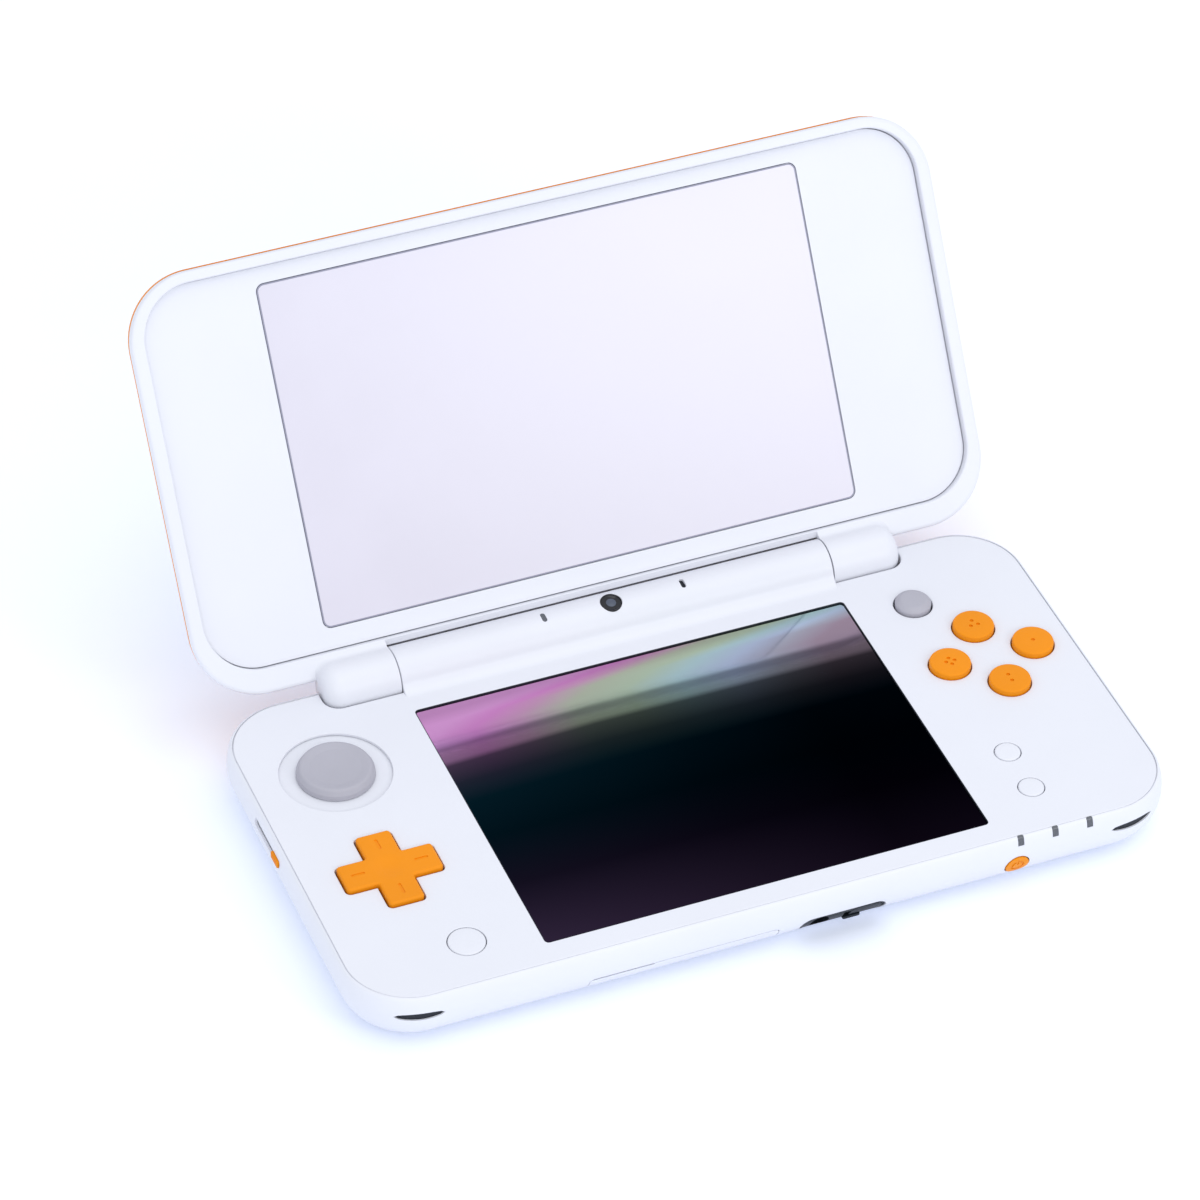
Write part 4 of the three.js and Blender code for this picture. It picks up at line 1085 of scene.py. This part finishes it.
LID_BACK = lid_span("lid_inner_frame")[0][2]
TRIM_LOW, TRIM_HIGH = lid_span("lid_trim")
COVER_LOW, COVER_HIGH = lid_span("lid_cover")
PANEL_LOW, PANEL_HIGH = lid_span("upper_panel")
UPPER_LOW, UPPER_HIGH = lid_span("upper_screen")
RIM = -0.45                   # the rim's face lies this far behind the hinge axis
BAND_LOW = -2.2               # the frame's outer band ends here and the trim begins
BAND_IN = 0.16                # that band lies this far inside the lid's outline
SKIRT_IN = 2.2                # and so does the part of the frame inside the trim
TRIM_EDGE_IN = 0.05           # and so does the trim
LID_AREA = {"x0": TRIM_LOW[0] - TRIM_EDGE_IN, "x1": TRIM_HIGH[0] + TRIM_EDGE_IN,
            "y0": 1.8, "y1": TRIM_HIGH[1] + TRIM_EDGE_IN, "r": CORNER}
PANEL_AREA = {"x0": PANEL_LOW[0] - 0.15, "x1": PANEL_HIGH[0] + 0.15,
              "y0": PANEL_LOW[1] - 0.15, "y1": PANEL_HIGH[1] + 0.15, "r": 10.2}
TRIM_IN = 6.5                 # width of the orange border round the back's white panel
TRIM_SIDE_IN = 0.28            # the trim shows less at the lid's sides than along its top


def smooth_levels(points, steps=5):
    """Catmull-Rom curve through (z, inset) points."""
    ends = [points[0]] + list(points) + [points[-1]]
    out = []
    for p0, p1, p2, p3 in zip(ends, ends[1:], ends[2:], ends[3:]):
        for k in range(steps):
            t = k / steps
            out.append(tuple(0.5 * (2 * b + (c - a) * t + (2 * a - 5 * b + 4 * c - d) * t * t
                                    + (3 * b - a - 3 * c + d) * t ** 3)
                             for a, b, c, d in zip(p0, p1, p2, p3)))
    return out + [points[-1]]


STRIP_TOP = PANEL_AREA["y0"] - 0.15         # the rim slopes back from here down to the barrel


def knuckle_section(r):
    """Lid knuckle of radius r with the fillet that joins it to the rim, in Y and Z."""
    rise = LID_FILLET + RIM
    y = math.sqrt((r + LID_FILLET) ** 2 - rise ** 2)
    meet = math.degrees(math.atan2(rise, y))
    bend = arc(y, rise, LID_FILLET, -90, -180 + meet, 8)
    barrel = arc(0, 0, r, meet, 320, 50)
    return [*bend, *barrel[1:], (y, barrel[-1][1])]


def barrel_room(reach):
    return through_x("room", arc(0, 0, BARREL_R + BARREL_GAP, 0, 357, 119), -reach, reach)


def make_lid_frame():
    levels = [(LID_BACK, SKIRT_IN), (BAND_LOW, SKIRT_IN)]
    levels += [(-z, i) for z, i in reversed(round_over(-BAND_LOW, 0.12, 3, BAND_IN))]
    levels += smooth_levels([(-1.15, BAND_IN), (-0.75, 0.3), (-0.54, 0.58), (RIM, 0.95)])
    ring = area_body("lid_frame", LID_AREA, levels)
    half = BARREL_END + BARREL_GAP
    recess = [(PANEL_LOW[2] - 0.3, 0.0)]
    recess += [(z, i - 0.35) for z, i in reversed(flare_levels(RIM, 0.35))]
    recess.append((3, -0.35))
    slope = [(-1, -1.25), (5.0, -1.25), (5.7, -0.9), (STRIP_TOP, RIM), (STRIP_TOP, 1), (-1, 1)]
    carve(ring, area_body("recess", PANEL_AREA, recess),
          area_body("through", PANEL_AREA, [(-9, 1.5), (0, 1.5)]),
          barrel_room(half), through_x("notch", slope, -half, half))
    for side, _ in SIDES:
        sections = [(side * half, knuckle_section(BARREL_R))]
        for i in range(11):
            t = math.pi / 2 * i / 10
            x = KNUCKLE_END - KNUCKLE_ROUND * (1 - math.sin(t))
            sections.append((side * x, knuckle_section(BARREL_R - KNUCKLE_ROUND * (1 - math.cos(t)))))
        fuse(ring, push_x("knuckle", sections))
    reach = KNUCKLE_END - 3.5
    carve(ring, through_x("bore", arc(0, 0, 1.8, 0, 345, 23), -reach, reach))
    piece(moved(ring, LID), "lid", WHITE, "lid_inner_frame")


def make_lid_back():
    levels = smooth_levels([
        (TRIM_LOW[2], 7.5), (-8.3, 5.6), (-7.9, 3.9), (-7.1, 2.2), (-6.1, 1.15), (-4.9, 0.45), (-3.6, 0.13),
        (TRIM_HIGH[2] - 0.12, TRIM_EDGE_IN), (TRIM_HIGH[2], TRIM_EDGE_IN + 0.1),
    ])
    area = {**LID_AREA, "x0": LID_AREA["x0"] + TRIM_SIDE_IN, "x1": LID_AREA["x1"] - TRIM_SIDE_IN,
            "y1": LID_AREA["y1"] + 0.04}
    trim = area_body("lid_band", area, levels)
    ledge = LID_BACK - 0.3
    inside = [(-12, TRIM_IN), (ledge, TRIM_IN), (ledge, SKIRT_IN - 0.15), (-1, SKIRT_IN - 0.15)]
    carve(trim, area_body("inside", LID_AREA, inside), barrel_room(KNUCKLE_END + BARREL_GAP))
    piece(moved(trim, LID), "lid", ORANGE, "lid_trim")
    inset = TRIM_IN + 0.3
    low = COVER_LOW[2]
    turns = [math.pi / 2 * (1 - i / 4) for i in range(5)]
    levels = [(low + 0.5 - 0.5 * math.sin(t), inset + 0.5 - 0.5 * math.cos(t)) for t in turns]
    cover = area_body("back_cover", LID_AREA, levels + [(COVER_HIGH[2], inset)])
    carve(cover, area_body("inside", LID_AREA, [(-7, inset + 1.6), (-5, inset + 1.6)]))
    piece(moved(cover, LID), "lid", WHITE, "lid_cover")


def make_upper_face():
    levels = [(PANEL_LOW[2], 0.15)] + round_over(PANEL_HIGH[2], 0.12, 3, 0.15)
    panel = area_body("upper_face", PANEL_AREA, levels)
    low, high = UPPER_LOW, UPPER_HIGH
    gap = 0.12
    border = 0.28
    area = {"x0": low[0], "x1": high[0], "y0": low[1], "y1": high[1], "r": 1.5}

    def opening(g):
        return box_outline(low[0] - gap - g, high[0] + gap + g, low[1] - gap - g, high[1] + gap + g,
                           1.6 + g, 10)

    def slab(name, inset, z0, z1):
        return area_body(name, area, [(z0, inset), (z1, inset)], 10, 0.8)

    carve(panel, flared("window", opening, -9, PANEL_HIGH[2], 0.08))
    piece(moved(panel, LID), "lid", WHITE, "upper_panel")
    ring = slab("upper_border", 0.0, low[2] + 0.1, high[2] - 0.02)
    carve(ring, slab("inside", border + 0.02, -9, 1))
    piece(moved(ring, LID), "lid", BORDER)
    glass = slab("upper_window", border, low[2], high[2])
    piece(moved(glass, LID), "lid", PALE_GLASS, "upper_screen")


# ---- inside parts that keep their CAD shape

INSIDE = (
    (STEEL, ("lower_display", "card_slot_housing", "memory_card_reader", "hinge_pin_left",
             "hinge_clutch", "upper_display")),
    (DARK, ("circle_pad_module", "nub_stem", "headphone_jack", "stylus_silo", "battery",
            "speaker_left", "speaker_right")),
    (GREY, ("circle_pad_carriage", "direction_pivot")),
    (BOARD, ("mainboard",)),
    (SILICONE, ("key_membrane_left", "key_membrane_right")),
)


def dress_inside():
    for look, names in INSIDE:
        for name in names:
            node = frame["nodes"][name]
            node.data.materials.clear()
            node.data.materials.append(look)


for make in (make_case, make_face, make_touch_screen, make_circle_pad, make_direction_pad,
             make_cluster, make_small_buttons, make_nub, make_power_button, make_volume,
             make_shoulders, make_flap, make_ports, make_stylus, make_lights, make_speaker_grilles,
             make_rear, make_underside, make_barrel_details, make_lid_frame, make_lid_back,
             make_upper_face, dress_inside):
    make()


# ---- stage, camera and light

def make_floor():
    look = moulded("studio_floor", (0.87, 0.89, 0.93), 0.8, grain=40, depth=0.0, spread=0.002, specular=0.1)
    shader = look.node_tree.nodes["Principled BSDF"]
    # A faint glow of its own keeps the shadows pale and blue
    shader.inputs["Emission Color"].default_value = (0.09, 0.11, 0.17, 1)
    shader.inputs["Emission Strength"].default_value = 1.0
    floor = block("studio_floor", -6000, 6000, -6000, 6000, -20, -0.02)
    floor.data.materials.append(look)


def make_camera():
    data = bpy.data.cameras.new("camera")
    data.lens = 175.0
    data.sensor_width = 36.0
    data.clip_end = 20
    camera = add_object("camera", data)
    place = Vector((-328.2, -706.2, 733.4))
    aim = Vector((5.76, 61.89, 0.0))
    roll = math.radians(1.863)
    turn = (aim - place).to_track_quat("-Z", "Y").to_matrix() @ Matrix.Rotation(roll, 3, "Z")
    camera.matrix_world = Matrix.Translation(place * MM) @ turn.to_4x4()
    bpy.context.scene.camera = camera


def soft_light(name, place, target, size, power, colour):
    data = bpy.data.lights.new(name, "AREA")
    data.shape = "RECTANGLE"
    data.size, data.size_y = size
    data.energy = power
    data.color = colour
    light = add_object(name, data)
    light.location = place
    light.rotation_euler = (Vector(target) - Vector(place)).to_track_quat("-Z", "Y").to_euler()


def make_light():
    world = bpy.data.worlds.new("studio")
    world.use_nodes = True
    background = world.node_tree.nodes["Background"]
    background.inputs["Color"].default_value = (0.9, 0.94, 1.0, 1)
    background.inputs["Strength"].default_value = 0.95
    bpy.context.scene.world = world
    soft_light("overhead", (0.25, -0.3, 1.7), (0, 0, 0.03), (1.8, 1.5), 7, (1, 0.99, 0.98))
    # The card is mirrored in the upper window
    soft_light("front_card", (0.487, -1.015, 0.608), (0.045, 0.081, 0.066), (0.3, 0.25), 1.7, (1, 1, 1))
    soft_light("front_fill", (-0.5, -1.1, 0.75), (0, 0.05, 0.05), (0.8, 0.6), 2.2, (1, 1, 1))


make_floor()
make_camera()
make_light()
bpy.context.scene.view_settings.view_transform = "Standard"
